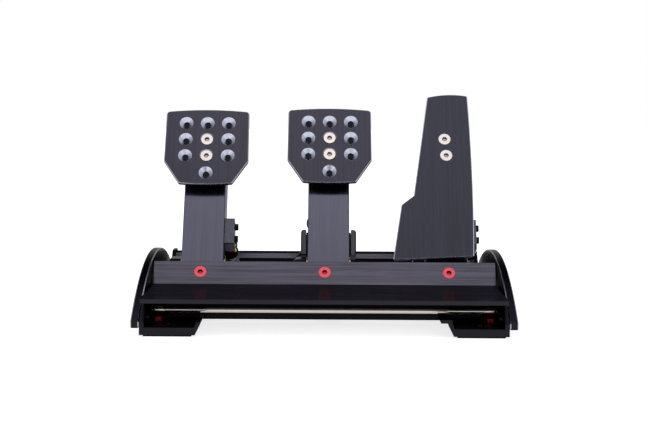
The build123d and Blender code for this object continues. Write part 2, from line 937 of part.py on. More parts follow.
# Pedal arms
def arm_body(x):
    """A bent channel arm: front web, two flanges that round off below the pivot."""
    outline = [
        (-arm_below_pivot, 0),
        (arm_top, 0),
        (arm_top, -arm_top_depth),
        (arm_taper_start, -arm_depth),
        (0, -arm_depth),
        (-arm_below_pivot, -pivot_inset),
    ]
    left = x - arm_half
    body = prism(arm_side(left), outline, arm_width)
    body += cross_pin(left, left + arm_width, pivot_depth, pivot_height, 2 * pivot_end_radius)
    front_edges = []
    for edge in body.edges():
        local = arm_side(x).to_local_coords(edge.center())
        if abs(local.Y) < running_clearance and abs(abs(local.Z) - arm_half) < running_clearance:
            front_edges.append(edge)
    body = fillet(front_edges, arm_edge_round)
    inner = [
        (-arm_top, -arm_web),
        (arm_top + overrun, -arm_web),
        (arm_top + overrun, -arm_depth - overrun),
        (-arm_top, -arm_depth - overrun),
    ]
    body -= prism(arm_side(x - arm_inner), inner, 2 * arm_inner)
    bush_hole = 2 * (bush_radius + press_clearance)
    body -= cross_pin(left - overrun, left + arm_width + overrun, pivot_depth, pivot_height, bush_hole)
    return body


def pivot_bushes(x):
    """Two flanged brass bushes, whose flanges stand outside the arm."""
    bushes = []
    for side in (-1, 1):
        inner, face, outer = arm_inner, arm_half, arm_half + bush_flange
        sleeve = sorted((x + side * inner, x + side * outer))
        flange = sorted((x + side * face, x + side * outer))
        bush = cross_pin(*sleeve, pivot_depth, pivot_height, 2 * bush_radius)
        bush += cross_pin(*flange, pivot_depth, pivot_height, 2 * bush_flange_radius)
        bore = axle_diameter + 2 * running_clearance
        bush -= cross_pin(x - side_outer, x + side_outer, pivot_depth, pivot_height, bore)
        bushes.append(bush)
    return bushes


def pad_screw_plane(x, up, across):
    """The plane of a pad screw's head at the pad's front face."""
    return shifted(arm_face(x), across, up, pad_front)


def pad_screw(plane):
    """A bright countersunk screw through pad, spacer and arm, with its nut behind the web."""
    length = pad_front + arm_web + nut_height
    screw = sunk_screw(
        plane, pad_screw_head, pad_screw_head_height, m6_shank_diameter, length, m6_hex
    )
    nut_plane = plane.offset(-(pad_front + arm_web + nut_height))
    return screw + extrude(nut_plane * RegularPolygon(nut_across / math.sqrt(3), 6), nut_height)


def pad_spacer(plane):
    """A round spacer between the pad and the arm."""
    back = plane.offset(-pad_front)
    hole = m6_shank_diameter + 2 * screw_clearance
    return upright_pin(back, spacer_diameter, 0, pad_standoff) - upright_pin(
        back, hole, 0, pad_standoff
    )


def arm_screw_hole(plane):
    """The cutter of a pad screw's hole in the arm."""
    back = plane.offset(-pad_front)
    return upright_pin(
        back, m6_shank_diameter + 2 * screw_clearance, -arm_web - overrun, overrun
    )


def pad_face():
    """The crowned outline of the clutch and brake pads, about its second row of holes."""
    top_up, low_up, bottom_up = [share * pad_height for share in pad_corner_shares]
    top = (pad_top_width / 2, top_up)
    low = (pad_low_width / 2, low_up)
    bottom = (pad_bottom_width / 2, bottom_up)
    peak = (0, top_up + pad_crown)
    dip = (0, bottom[1] - pad_bottom_bow)
    mirror_points = [(-point[0], point[1]) for point in (top, low, bottom)]
    lines = [
        ThreePointArc(mirror_points[0], peak, top),
        Line(top, low),
        Line(low, bottom),
        ThreePointArc(bottom, dip, mirror_points[2]),
        Line(mirror_points[2], mirror_points[1]),
        Line(mirror_points[1], mirror_points[0]),
    ]
    face = make_face(Wire(lines))
    face = fillet(face.vertices().sort_by(Axis.Y)[-2:], pad_top_round)
    return fillet([corner for corner in face.vertices() if corner.Y < 0], pad_low_round)


def pad_hole(plane):
    """The cutter of one countersunk hole of a pad."""
    sink = (sink_diameter - bore_diameter) / 2
    cone = plane * Pos(0, 0, -sink) * Cone(
        bore_diameter / 2, sink_diameter / 2, sink, align=(Align.CENTER, Align.CENTER, Align.MIN)
    )
    return cone + upright_pin(plane, bore_diameter, -pad_plate - overrun, overrun)


def bevelled(plate):
    """A pad or plate in an arm's plane, with the rims of both its faces bevelled."""
    faces = plate.faces().sort_by(Axis((0, 0, 0), (0, -arm_cos, arm_sin)))
    return chamfer(faces[-1].edges() + faces[0].edges(), pad_bevel)


def free_holes():
    """The places of the eight holes that no screw uses, about the second row's middle."""
    places = [
        (column * hole_pitch, row * row_pitch)
        for row in (1, 0, -1)
        for column in (-1, 0, 1)
        if column or row == 1
    ]
    return places + [(0, -last_row_drop)]


def pad_plate_solid(x, up, shift):
    """A clutch or brake pad with its ten countersunk holes."""
    plane = shifted(arm_face(x), shift, up, pad_standoff)
    pad = bevelled(extrude(plane * pad_face(), pad_plate))
    for across, along in free_holes() + [(0, 0), (0, -row_pitch)]:
        pad -= pad_hole(shifted(arm_face(x), shift + across, up + along, pad_front))
    return pad


def hole_plugs(x, up, shift):
    """The thin black plugs that close the free holes of a pad from behind."""
    plugs = []
    for across, along in free_holes():
        plane = shifted(arm_face(x), shift + across, up + along, pad_standoff)
        stem = upright_pin(plane, bore_diameter - 2 * running_clearance, 0, plug_stem)
        plugs.append(stem + upright_pin(plane, plug_head_diameter, -plug_head, 0))
    return plugs


def throttle_corner(shares):
    """A corner of the throttle plate, about the foot of the arm's front face."""
    across, along = shares
    return across * throttle_width - throttle_left, along * throttle_height - throttle_below_foot


def throttle_face():
    """The outline of the throttle plate."""
    places = [throttle_corner(shares) for shares in throttle_left_shares]
    bow = throttle_corner(throttle_right_bow_shares)
    top_right = throttle_corner(throttle_top_right_shares)
    peak = throttle_corner(throttle_peak_shares)
    lines = [Line(first, second) for first, second in zip(places, places[1:])]
    lines.append(ThreePointArc(places[-1], bow, top_right))
    lines.append(ThreePointArc(top_right, peak, places[0]))
    face = make_face(Wire(lines))
    return fillet(face.vertices(), throttle_round)


def throttle_plate(x, planes):
    """The long throttle plate with the countersunk holes of its two screws."""
    plane = shifted(arm_face(x), 0, 0, pad_standoff)
    plate = bevelled(extrude(plane * throttle_face(), pad_plate))
    for plane in planes:
        plate -= sunk_hole(
            plane, pad_screw_head, pad_screw_head_height, m6_shank_diameter, pad_plate + overrun
        )
    return plate


def pad_sets():
    """Screw planes of each pedal: rows two and three of its pad."""
    middle = pad_row_above_foot - row_pitch / 2 - throttle_screw_drop
    face = arm_face(throttle_x)
    turned = shifted(face, throttle_screw_shift, middle, pad_front, throttle_screw_turn)
    clutch_row = pad_row_above_foot - clutch_drop
    return {
        "clutch": [
            pad_screw_plane(clutch_x, clutch_row - row * row_pitch, clutch_pad_shift)
            for row in (0, 1)
        ],
        "brake": [
            pad_screw_plane(brake_x, pad_row_above_foot - row * row_pitch, brake_pad_shift)
            for row in (0, 1)
        ],
        "throttle": [shifted(turned, 0, side * row_pitch / 2) for side in (1, -1)],
    }


def pads_and_arms():
    """Arms, bushes, pads, spacers and bright screws of the three pedals."""
    planes_of = pad_sets()
    for name, x in (("clutch", clutch_x), ("brake", brake_x), ("throttle", throttle_x)):
        arm = arm_body(x)
        for plane in planes_of[name]:
            arm -= arm_screw_hole(plane)
        if name == "brake":
            hole = brake_pin_diameter + 2 * press_clearance
            arm -= cross_pin(x - arm_width, x + arm_width, brake_pin_depth, brake_pin_height, hole)
        else:
            for cutter in block_screw_cutters(x):
                arm -= cutter
        save(f"{name}_arm", arm)
        bushes = pivot_bushes(x)
        if name != "brake":
            bushes.append(link_washer(x))
        save(f"{name}_bushes", *bushes)
        fasteners = [pad_screw(plane) for plane in planes_of[name]]
        fasteners += [pad_spacer(plane) for plane in planes_of[name]]
        save(f"{name}_pad_fasteners", *fasteners)
    for name, x, up, shift in (
        ("clutch", clutch_x, pad_row_above_foot - clutch_drop, clutch_pad_shift),
        ("brake", brake_x, pad_row_above_foot, brake_pad_shift),
    ):
        save(f"{name}_pad", pad_plate_solid(x, up, shift))
        save(f"{name}_hole_plugs", *hole_plugs(x, up, shift))
    save("throttle_plate", throttle_plate(throttle_x, planes_of["throttle"]))


# Spring links of the clutch and the throttle
def link_axis(x):
    """The plane across a link at its front pin, with its normal along the link to the rear."""
    return Plane(
        origin=(x + link_x, link_pin_depth, link_pin_height),
        x_dir=(1, 0, 0),
        z_dir=(0, link_run / link_length, -link_fall / link_length),
    )


def block_screw_plane(x, up):
    """The plane of a cap screw's seat on the outer face of a link block."""
    depth, height = arm_point(up, (block_front + block_rear) / 2)
    return Plane(
        origin=(x + arm_half + block_thickness, depth, height), x_dir=(0, 1, 0), z_dir=(1, 0, 0)
    )


def block_screw_cutters(x):
    """The cutters of a link block's screw holes."""
    cutters = []
    for up in block_screw_rows:
        plane = block_screw_plane(x, up)
        cutters.append(
            upright_pin(
                plane,
                block_screw_shank + 2 * screw_clearance,
                -block_thickness - arm_flange - overrun,
                overrun,
            )
        )
    return cutters


def link_block(x):
    """The grey block on the arm's right flange, with a fork behind it for the link's eye."""
    low = x + arm_half
    outline = [
        (block_low, -block_front),
        (block_low + block_height, -block_front),
        (block_low + block_height, -block_rear),
        (block_low, -block_rear),
    ]
    solid = prism(arm_side(low), outline, block_thickness)
    solid = chamfer(solid.edges().filter_by(Axis.X), side_clearance * 3)
    solid += cross_pin(
        low, low + block_thickness, link_pin_depth, link_pin_height, 2 * lug_radius
    )
    slot_half = eye_thickness / 2 + side_clearance
    middle = low + block_thickness / 2
    reach = eye_radius + link_clearance
    solid -= cross_pin(
        middle - slot_half, middle + slot_half, link_pin_depth, link_pin_height, 2 * reach
    )
    rear_sweep = arm_point(block_low + reach, arm_depth * 2)
    solid -= side_prism(
        [
            (link_pin_depth - reach, link_pin_height),
            (link_pin_depth, link_pin_height + reach),
            (rear_sweep[0], rear_sweep[1] + arm_depth),
            (rear_sweep[0], rear_sweep[1] - arm_depth),
            (link_pin_depth, link_pin_height - reach),
        ],
        middle - slot_half,
        middle + slot_half,
    )
    pin_hole = link_pin_diameter + 2 * press_clearance
    solid -= cross_pin(low, low + block_thickness, link_pin_depth, link_pin_height, pin_hole)
    for cutter in block_screw_cutters(x):
        solid -= cutter
    return solid


def link_fasteners(x):
    """The two black cap screws of a link block, and its pin with a small head."""
    pieces = []
    for up in block_screw_rows:
        pieces.append(
            cap_screw(
                block_screw_plane(x, up),
                block_screw_head,
                block_screw_head_height,
                block_screw_shank,
                block_screw_length,
                block_screw_shank * socket_depth_share,
            )
        )
    low = x + arm_half
    outer = low + block_thickness + brass_washer_thickness
    pin = cross_pin(low, outer, link_pin_depth, link_pin_height, link_pin_diameter)
    head = 2 * eye_radius - link_pin_diameter / 2
    far = outer + brass_washer_thickness
    pin += cross_pin(outer, far, link_pin_depth, link_pin_height, head)
    pieces.append(pin)
    return pieces


def link_washer(x):
    """The brass washer under the head of a link pin."""
    face = x + arm_half + block_thickness
    washer = cross_pin(
        face,
        face + brass_washer_thickness,
        link_pin_depth,
        link_pin_height,
        2 * brass_washer_radius,
    )
    hole = link_pin_diameter + 2 * press_clearance
    return washer - cross_pin(
        face, face + brass_washer_thickness, link_pin_depth, link_pin_height, hole
    )


def link_rod(x):
    """The front rod of a link: an eye for the block's pin, then a rod that slides in the tube."""
    axis = link_axis(x)
    low = x + link_x - eye_thickness / 2
    eye = cross_pin(low, low + eye_thickness, link_pin_depth, link_pin_height, 2 * eye_radius)
    neck = axis * Pos(0, 0, eye_radius / 2) * Box(
        eye_thickness,
        link_rod_diameter,
        seat_from_pin - eye_radius / 2,
        align=(Align.CENTER, Align.CENTER, Align.MIN),
    )
    rod = eye + neck + upright_pin(axis, link_rod_diameter, seat_from_pin, link_rod_length)
    hole = link_pin_diameter + 2 * link_clearance
    return rod - cross_pin(low, low + eye_thickness, link_pin_depth, link_pin_height, hole)


def grip_ring(plane, diameter, low, high, grips, grip_diameter, bore):
    """A turned ring with round grip notches in its rim and a bore for its rod."""
    ring = upright_pin(plane, diameter, low, high)
    for index in range(grips):
        turned = plane * Rot(0, 0, index * 360 / grips) * Pos(diameter / 2, 0, 0)
        ring -= upright_pin(turned, grip_diameter, low, high)
    return ring - upright_pin(plane, bore, low, high)


def link_adjuster(x):
    """The red nut on the rod that preloads the spring."""
    return grip_ring(
        link_axis(x),
        adjuster_diameter,
        adjuster_start,
        adjuster_start + adjuster_thickness,
        adjuster_grips,
        adjuster_grip_diameter,
        link_rod_diameter + 2 * running_clearance,
    )


tube_seat = link_length - link_tube_bore_end - seat_thickness / 3


def link_tube(x):
    """The rear tube of a link, with the eye of its pin and a flange that seats the spring."""
    axis = link_axis(x)
    mouth = link_length - link_tube_length
    tube = upright_pin(axis, link_tube_diameter, mouth, link_length - tube_eye_radius / 2)
    tube += upright_pin(axis, seat_diameter, tube_seat, tube_seat + seat_thickness)
    low = x + link_x - tube_eye_thickness / 2
    high = low + tube_eye_thickness
    tube += cross_pin(low, high, rear_pin_depth, rear_pin_height, 2 * tube_eye_radius)
    tube -= upright_pin(
        axis,
        link_rod_diameter + 2 * link_tube_wall_gap,
        mouth - overrun,
        link_length - link_tube_bore_end,
    )
    side_trim = link_tube_diameter
    reach = tube_eye_radius * math.sqrt(2)
    for start in (low - side_trim, high):
        tube -= side_prism(
            [
                (rear_pin_depth - reach, rear_pin_height - side_trim),
                (rear_pin_depth + side_trim, rear_pin_height - side_trim),
                (rear_pin_depth + side_trim, rear_pin_height + reach),
                (rear_pin_depth, rear_pin_height + reach),
                (rear_pin_depth - reach, rear_pin_height),
            ],
            start,
            start + side_trim,
        )
    hole = rear_pin_diameter + 2 * running_clearance
    return tube - cross_pin(low, high, rear_pin_depth, rear_pin_height, hole)


def biarc(start, start_tangent, end, end_tangent):
    """Two arcs that join two points and their tangents smoothly."""
    chord = end - start
    tangents = start_tangent + end_tangent
    along = chord.dot(tangents)
    spread = 2 * (1 - start_tangent.dot(end_tangent))
    reach = (math.sqrt(along * along + spread * chord.dot(chord)) - along) / spread
    first = start + start_tangent * reach
    second = end - end_tangent * reach
    middle = (first + second) * 0.5
    middle_tangent = (second - first).normalized()
    return [
        TangentArc(start, middle, tangent=start_tangent),
        TangentArc(middle, end, tangent=middle_tangent),
    ]


def spring_point(turn, radius, start, length, curls, wire):
    """A point of the spring's centre line: the first and last curls lie closed on their seats."""
    closed = wire + closed_curl_gap
    open_pitch = (length - wire - 2 * closed) / (curls - 2)
    if turn < 1:
        rise = turn * closed
    elif turn > curls - 1:
        rise = closed + (curls - 2) * open_pitch + (turn - curls + 1) * closed
    else:
        rise = closed + (turn - 1) * open_pitch
    angle = 2 * math.pi * turn
    return Vector(radius * math.cos(angle), radius * math.sin(angle), start + wire / 2 + rise)


def spring_slope(turn, length, curls, wire):
    """How far the spring climbs in a turn at this place, the mean of both sides of a change."""
    closed = wire + closed_curl_gap
    open_pitch = (length - wire - 2 * closed) / (curls - 2)
    if turn < 1 or turn > curls - 1:
        return closed
    if turn in (1, curls - 1):
        return (closed + open_pitch) / 2
    return open_pitch


def coil_spring(name, plane, start, end, curls, wire):
    """A coil spring as one unbroken tube on quarter-turn biarcs, with straight ends."""
    radius = spring_diameter / 2
    length = end - start
    points = []
    tangents = []
    for quarter in range(4 * curls + 1):
        turn = quarter / 4
        points.append(spring_point(turn, radius, start, length, curls, wire))
        angle = 2 * math.pi * turn
        climb = spring_slope(turn, length, curls, wire) / (2 * math.pi)
        tangent = Vector(-radius * math.sin(angle), radius * math.cos(angle), climb)
        tangents.append(tangent.normalized())
    edges = [Line(points[0] - Vector(0, wire, 0), points[0])]
    tangents[0] = Vector(0, 1, 0)
    tangents[-1] = Vector(0, 1, 0)
    for index in range(4 * curls):
        edges += biarc(points[index], tangents[index], points[index + 1], tangents[index + 1])
    edges.append(Line(points[-1], points[-1] + Vector(0, wire, 0)))
    path = Wire(edges)
    print(name, "least gap between curls", round(least_gap(radius, length, curls, wire), 2))
    section = Plane(origin=points[0] - Vector(0, wire, 0), x_dir=(1, 0, 0), z_dir=(0, 1, 0)) * Circle(
        wire / 2
    )
    return plane * sweep(section, path=path)


def least_gap(radius, length, curls, wire):
    """The least gap of the spring to itself, measured on points a curl or more apart."""
    steps = 24
    places = [
        spring_point(step / steps, radius, 0, length, curls, wire)
        for step in range(steps * curls + 1)
    ]
    nearest = length
    for index, place in enumerate(places):
        for other in places[index + steps * 3 // 4 :]:
            nearest = min(nearest, (place - other).length)
    return nearest - wire


def links():
    """The sprung links between the arms of the clutch and the throttle and their frames."""
    for name, x, wire, curls in (
        ("clutch", clutch_x, clutch_wire, clutch_curls),
        ("throttle", throttle_x, throttle_wire, throttle_curls),
    ):
        save(f"{name}_link_block", link_block(x))
        save(f"{name}_link_fasteners", *link_fasteners(x))
        save(f"{name}_link_rod", link_rod(x))
        save(f"{name}_link_tube", link_tube(x))
        save(f"{name}_adjuster", link_adjuster(x))
        start = adjuster_start + adjuster_thickness
        save(f"{name}_spring", coil_spring(name, link_axis(x), start, tube_seat, curls, wire))


# Brake link
def brake_axis():
    """The plane across the brake link at its front pin, with its normal along the link."""
    return Plane(
        origin=(brake_x, brake_pin_depth, brake_pin_height),
        x_dir=(1, 0, 0),
        z_dir=(0, math.cos(brake_drop), -math.sin(brake_drop)),
    )


def brake_side(x):
    """The side plane of the brake link: local X to the rear along it, local Y up across it."""
    return Plane(
        origin=(x, brake_pin_depth, brake_pin_height),
        x_dir=(0, math.cos(brake_drop), -math.sin(brake_drop)),
        z_dir=(1, 0, 0),
    )


ear_inner = arm_half + ear_gap
ear_outer = ear_inner + ear_thickness


def brake_yoke():
    """The fork round the brake arm: two ears, a bridge behind the arm, and the piston rod."""
    bridge_end = bridge_start + bridge_depth
    outline = [
        (-ear_front, -ear_bottom_front),
        (-ear_front, ear_top),
        (bridge_end, ear_top),
        (bridge_end, -ear_bottom_rear),
        (bridge_start / 2, -ear_bottom_rear),
        (0, -ear_bottom_front),
    ]
    yoke = prism(brake_side(brake_x - ear_outer), outline, 2 * ear_outer)
    outer_edges = []
    for edge in yoke.edges():
        local = brake_side(brake_x).to_local_coords(edge.center())
        at_side = abs(abs(local.Z) - ear_outer) < running_clearance
        if at_side and (local.X < -ear_front / 2 or local.Y > ear_top / 2):
            outer_edges.append(edge)
    yoke = fillet(outer_edges, ear_round)
    gap = [
        (-2 * ear_front, -2 * ear_bottom_front),
        (-2 * ear_front, 2 * ear_top),
        (bridge_start, 2 * ear_top),
        (bridge_start, -2 * ear_bottom_front),
    ]
    yoke -= prism(brake_side(brake_x - ear_inner), gap, 2 * ear_inner)
    yoke += upright_pin(brake_axis(), piston_diameter, bridge_end, piston_end)
    hole = brake_pin_diameter + 2 * side_clearance
    return yoke - cross_pin(
        brake_x - 2 * ear_outer, brake_x + 2 * ear_outer, brake_pin_depth, brake_pin_height, hole
    )


def brake_pin():
    """The pin pressed into the brake arm, flush with both ears, and a washer inside each ear."""
    left, right = brake_x - ear_outer, brake_x + ear_outer
    pin = cross_pin(left, right, brake_pin_depth, brake_pin_height, brake_pin_diameter)
    pieces = [pin]
    for side in (-1, 1):
        near, far = arm_half, ear_inner - side_clearance
        reach = sorted((brake_x + side * near, brake_x + side * far))
        washer = cross_pin(*reach, brake_pin_depth, brake_pin_height, pin_washer_diameter)
        hole = brake_pin_diameter + 2 * screw_clearance
        pieces.append(washer - cross_pin(*reach, brake_pin_depth, brake_pin_height, hole))
    return pieces


def brake_stack():
    """The bulged rubber rings on the piston, with a washer behind each."""
    bore = piston_diameter + 2 * side_clearance
    rings = []
    washers = []
    place = stack_start
    axis = brake_axis()
    for index in range(ring_count):
        radius = ring_diameter / 2
        rim = radius - ring_bulge
        profile = Wire(
            [
                Line((bore / 2, 0), (rim, 0)),
                ThreePointArc((rim, 0), (radius, ring_thickness / 2), (rim, ring_thickness)),
                Line((rim, ring_thickness), (bore / 2, ring_thickness)),
                Line((bore / 2, ring_thickness), (bore / 2, 0)),
            ]
        )
        ring = revolve(Plane.XZ * make_face(profile), Axis.Z)
        rings.append(axis * Pos(0, 0, place) * ring)
        place += ring_thickness
        washer = upright_pin(axis, washer_diameter, place, place + washer_thickness)
        washers.append(washer - upright_pin(axis, bore, place, place + washer_thickness))
        place += washer_thickness
    return rings, washers


def thrust_block():
    """The block that guides the piston and presses on the load cell."""
    end = stack_end + thrust_length + thrust_diameter
    axis = brake_axis()
    solid = upright_pin(axis, thrust_diameter, stack_end, end)
    solid -= block(
        (brake_x - thrust_diameter, brake_x + thrust_diameter),
        (cell_front, cell_front + 2 * thrust_diameter),
        (0, 2 * brake_pin_height),
    )
    stop = piston_end + ring_thickness
    bore = piston_diameter + 2 * running_clearance
    return solid - upright_pin(axis, bore, stack_end - overrun, stop)


def load_cell():
    """The bending beam that measures the brake force, with its double hole."""
    low = rail_top
    cell = block(
        (brake_x - cell_width / 2, brake_x + cell_width / 2),
        (cell_front, cell_front + cell_depth),
        (low, low + cell_height),
    )
    middle = low + cell_height / 2
    depth = cell_front + cell_depth / 2
    for side in (-1, 1):
        cell -= cross_pin(
            brake_x - cell_width,
            brake_x + cell_width,
            depth,
            middle + side * cell_hole_spacing / 2,
            cell_hole_diameter,
        )
    slit = cell_hole_diameter / 4
    return cell - block(
        (brake_x - cell_width, brake_x + cell_width),
        (depth - slit, depth + slit),
        (middle - cell_hole_spacing / 2, middle + cell_hole_spacing / 2),
    )


def brake_link():
    """The brake link with its rubber stack, red stiffness knob, thrust block and load cell."""
    rings, washers = brake_stack()
    save("brake_yoke", brake_yoke())
    save("brake_link_pin", *brake_pin())
    save("brake_rubber_rings", *rings)
    save("brake_stack_washers", *washers)
    save("brake_thrust_block", thrust_block())
    save("load_cell", load_cell())
    knob = grip_ring(
        brake_axis(),
        knob_diameter,
        knob_start,
        knob_start + knob_thickness,
        knob_grips,
        knob_grip_diameter,
        piston_diameter + 2 * running_clearance,
    )
    save("brake_stiffness_knob", knob)


# Vibration motor and leads
def vibration_motor():
    """The rounded case of the vibration motor behind the web of the brake arm."""
    outline = [
        (motor_low, -arm_web),
        (motor_low + motor_height, -arm_web),
        (motor_low + motor_height, -arm_web - motor_depth),
        (motor_low, -arm_web - motor_depth),
    ]
    case = prism(arm_side(brake_x - motor_width / 2), outline, motor_width)
    corners = []
    for edge in case.edges():
        local = arm_side(brake_x).to_local_coords(edge.center())
        if local.Y < -arm_web - motor_depth + running_clearance:
            corners.append(edge)
    return fillet(corners, motor_round)


def arm_place(across, up, inset):
    """A place in the brake arm's own sizes: across from its middle, up it, behind its face."""
    depth, height = arm_point(up, inset)
    return (brake_x + across, depth, height)


motor_lead_route = [
    arm_place(-6, 77, 17),
    arm_place(-6, 73, 17),
    arm_place(-10, 71, 27),
    arm_place(-16, 69, 36),
    arm_place(-21.8, 64, 37.2),
    arm_place(-22, 56, 37.2),
    arm_place(-17, 50, 36.6),
    arm_place(-12.8, 44, 31),
    arm_place(-12.5, 32, 28),
    arm_place(-12.6, 22, 31),
    arm_place(-13.5, 14, 36),
    arm_place(-18, 9, 36.6),
    arm_place(-24.5, 8.8, 36.6),
]
base_lead_route = [
    arm_place(-24.8, 8.8, 36.6),
    arm_place(-31, 8.8, 36.6),
    (brake_x - 36.5, 189, 40),
    (brake_x - 38, 205, 35.5),
    (brake_x - 38, 225, 32.5),
    (brake_x - 38.5, 247, 32.5),
    (brake_x - 38.5, 258, 35.5),
    (brake_x - 36.5, 264, 42),
    (brake_x - 29.5, 266, 49),
    (brake_x - 23.5, 273, 51),
    (brake_x - 22.3, 286, 51.2),
    (brake_x - 22.2, 298, 51.2),
    (brake_x - 22.2, 309, 51.2),
    (brake_x - 22.2, 309, 41.4),
]


def lead(name, route):
    """A round lead on straight runs joined by tangent arcs as large as the runs allow."""
    places = [Vector(*point) for point in route]
    radii = []
    for before, corner, after in zip(places, places[1:], places[2:]):
        first, second = corner - before, after - corner
        turn = math.radians(first.get_angle(second))
        run = min(first.length, second.length)
        radii.append(0.45 * run / math.tan(turn / 2))
    print(name, "radii", [round(radius, 1) for radius in radii])
    path = FilletPolyline(*places, radius=radii)
    start = Plane(origin=places[0], z_dir=places[1] - places[0])
    tube = sweep(start * Circle(lead_diameter / 2), path=path)
    area = math.pi * lead_diameter**2 / 4
    share = tube.volume / (area * path.length)
    print(name, "length", round(path.length, 1), "volume share", round(share, 4))
    return tube


def leads():
    """The motor's lead down the brake arm, and its run over the rear bar into the control box."""
    save("vibration_motor", vibration_motor())
    save("motor_lead", lead("motor_lead", motor_lead_route))
    save("brake_lead", lead("brake_lead", base_lead_route))


# Control box
def control_box():
    """The open tray of the control box, with posts for its board and openings for its sockets."""
    right = box_left + box_width
    rear = bar_rear + box_depth
    top = box_bottom + box_height - lid_thickness
    tray = block((box_left, right), (bar_rear, rear), (box_bottom, top))
    uprights = tray.edges().filter_by(Axis.Z).group_by(Axis.Y)[-1]
    tray = fillet(uprights, box_round)
    tray -= block(
        (box_left + box_wall, right - box_wall),
        (bar_rear + box_wall, rear - box_wall),
        (box_bottom + box_wall, top + overrun),
    )
    for place in box_corners():
        plane = Plane(origin=(*place, 0))
        tray += upright_pin(plane, 2 * box_screw_inset, box_bottom, top)
        tray -= upright_pin(plane, box_screw_diameter + 2 * screw_clearance, board_top(), top)
    for centre, width in socket_places():
        tray -= block(
            (centre - width / 2 - side_clearance, centre + width / 2 + side_clearance),
            (rear - 2 * box_wall, rear + overrun),
            (board_top(), board_top() + socket_height + side_clearance),
        )
    for x in box_mount_xs():
        tray -= upright_pin(
            Plane(origin=(x, bar_rear, bar_centre_height), x_dir=(1, 0, 0), z_dir=(0, 1, 0)),
            block_screw_shank + 2 * screw_clearance,
            -overrun,
            2 * box_wall,
        )
    return tray


def board_top():
    """The height of the circuit board's upper face."""
    return box_bottom + board_height


def box_corners():
    """The places of the four lid screws."""
    right = box_left + box_width
    rear = bar_rear + box_depth
    return [
        (x, y)
        for x in (box_left + box_screw_inset, right - box_screw_inset)
        for y in (bar_rear + box_screw_inset, rear - box_screw_inset)
    ]


def box_mount_xs():
    """The places across of the two screws that hold the box to the rear bar."""
    return box_left + box_width / 4, box_left + box_width * 3 / 4


def socket_places():
    """The middle and width of each socket in the back wall, the first one wider."""
    widths = (wide_socket_width, socket_width, socket_width, socket_width)
    return [
        (box_left + share * box_width, width) for share, width in zip(socket_centre_shares, widths)
    ]


def control_board():
    """The circuit board, notched at its corners for the screw posts."""
    margin = box_wall + side_clearance
    right = box_left + box_width
    rear = bar_rear + box_depth
    board = block(
        (box_left + margin, right - margin),
        (bar_rear + margin, rear - margin),
        (board_top() - board_thickness, board_top()),
    )
    for place in box_corners():
        plane = Plane(origin=(*place, 0))
        board -= upright_pin(
            plane, 2 * (box_screw_inset + side_clearance), box_bottom, box_bottom + box_height
        )
    return board


def board_posts():
    """Two posts that carry the board above the tray's floor."""
    middle = bar_rear + box_depth / 2
    posts = []
    for x in box_mount_xs():
        plane = Plane(origin=(x, middle, 0))
        posts.append(
            upright_pin(plane, post_diameter, box_bottom + box_wall, board_top() - board_thickness)
        )
    return posts


def sockets():
    """The lead sockets, hollow shells that stand on the board and show in the back wall."""
    rear = bar_rear + box_depth
    shells = []
    for centre, width in socket_places():
        shell = block(
            (centre - width / 2, centre + width / 2),
            (rear - socket_depth, rear),
            (board_top(), board_top() + socket_height),
        )
        shell -= block(
            (centre - width / 2 + socket_wall, centre + width / 2 - socket_wall),
            (rear - socket_depth + socket_wall, rear + overrun),
            (board_top() + socket_wall, board_top() + socket_height - socket_wall),
        )
        shells.append(shell)
    return shells


def box_lid():
    """The lid of the control box, with the gland of the brake's lead."""
    right = box_left + box_width
    rear = bar_rear + box_depth
    top = box_bottom + box_height
    lid = block((box_left, right), (bar_rear, rear), (top - lid_thickness, top))
    lid = fillet(lid.edges().filter_by(Axis.Z).group_by(Axis.Y)[-1], box_round)
    for place in box_corners():
        plane = Plane(origin=(*place, top))
        lid -= sunk_hole(
            plane,
            box_screw_head,
            box_screw_diameter / 2,
            box_screw_diameter,
            lid_thickness + overrun,
        )
    end = base_lead_route[-1]
    plane = Plane(origin=(end[0], end[1], top))
    return lid - upright_pin(plane, lead_diameter + 2 * side_clearance, -lid_thickness, 0)


def box_screws():
    """The lid screws, and the two screws into the slot of the rear bar."""
    top = box_bottom + box_height
    screws = []
    for place in box_corners():
        screws.append(
            sunk_screw(
                Plane(origin=(*place, top)),
                box_screw_head,
                box_screw_diameter / 2,
                box_screw_diameter,
                box_height / 2,
                box_screw_diameter / 2,
            )
        )
    for x in box_mount_xs():
        plane = Plane(
            origin=(x, bar_rear + box_wall, bar_centre_height), x_dir=(1, 0, 0), z_dir=(0, 1, 0)
        )
        screws.append(
            cap_screw(
                plane,
                box_screw_head,
                box_screw_diameter / 2,
                block_screw_shank,
                box_wall + slot_lip,
                box_screw_diameter / 2,
            )
        )
    return screws


def electronics():
    """The control box behind the rear bar, with board, sockets, lid, gland and screws."""
    tray = control_box()
    for post in board_posts():
        tray += post
    save("control_box", tray)
    save("control_board", control_board())
    save("lead_sockets", *sockets())
    save("control_box_lid", box_lid())
    save("control_box_screws", *box_screws())
    top = box_bottom + box_height
    end = base_lead_route[-1]
    plane = Plane(origin=(end[0], end[1], top))
    gland = upright_pin(plane, gland_diameter, 0, gland_height)
    hole = lead_diameter + 2 * side_clearance
    gland -= upright_pin(plane, hole, 0, gland_height)
    save("lead_gland", gland)


side_plates()
base_screws()
heel()
cross_members()
feet()
frames()
pads_and_arms()
links()
brake_link()
leads()
electronics()

print("pivot", round(pivot_depth - side_middle, 3), round(pivot_height + sole_drop, 3))
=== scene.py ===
"""Sim racing pedal set: finishes, springs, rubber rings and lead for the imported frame."""

import logging
import math
from dataclasses import dataclass, field, replace
from enum import Enum

import bmesh
import bpy
from mathutils import Matrix, Vector


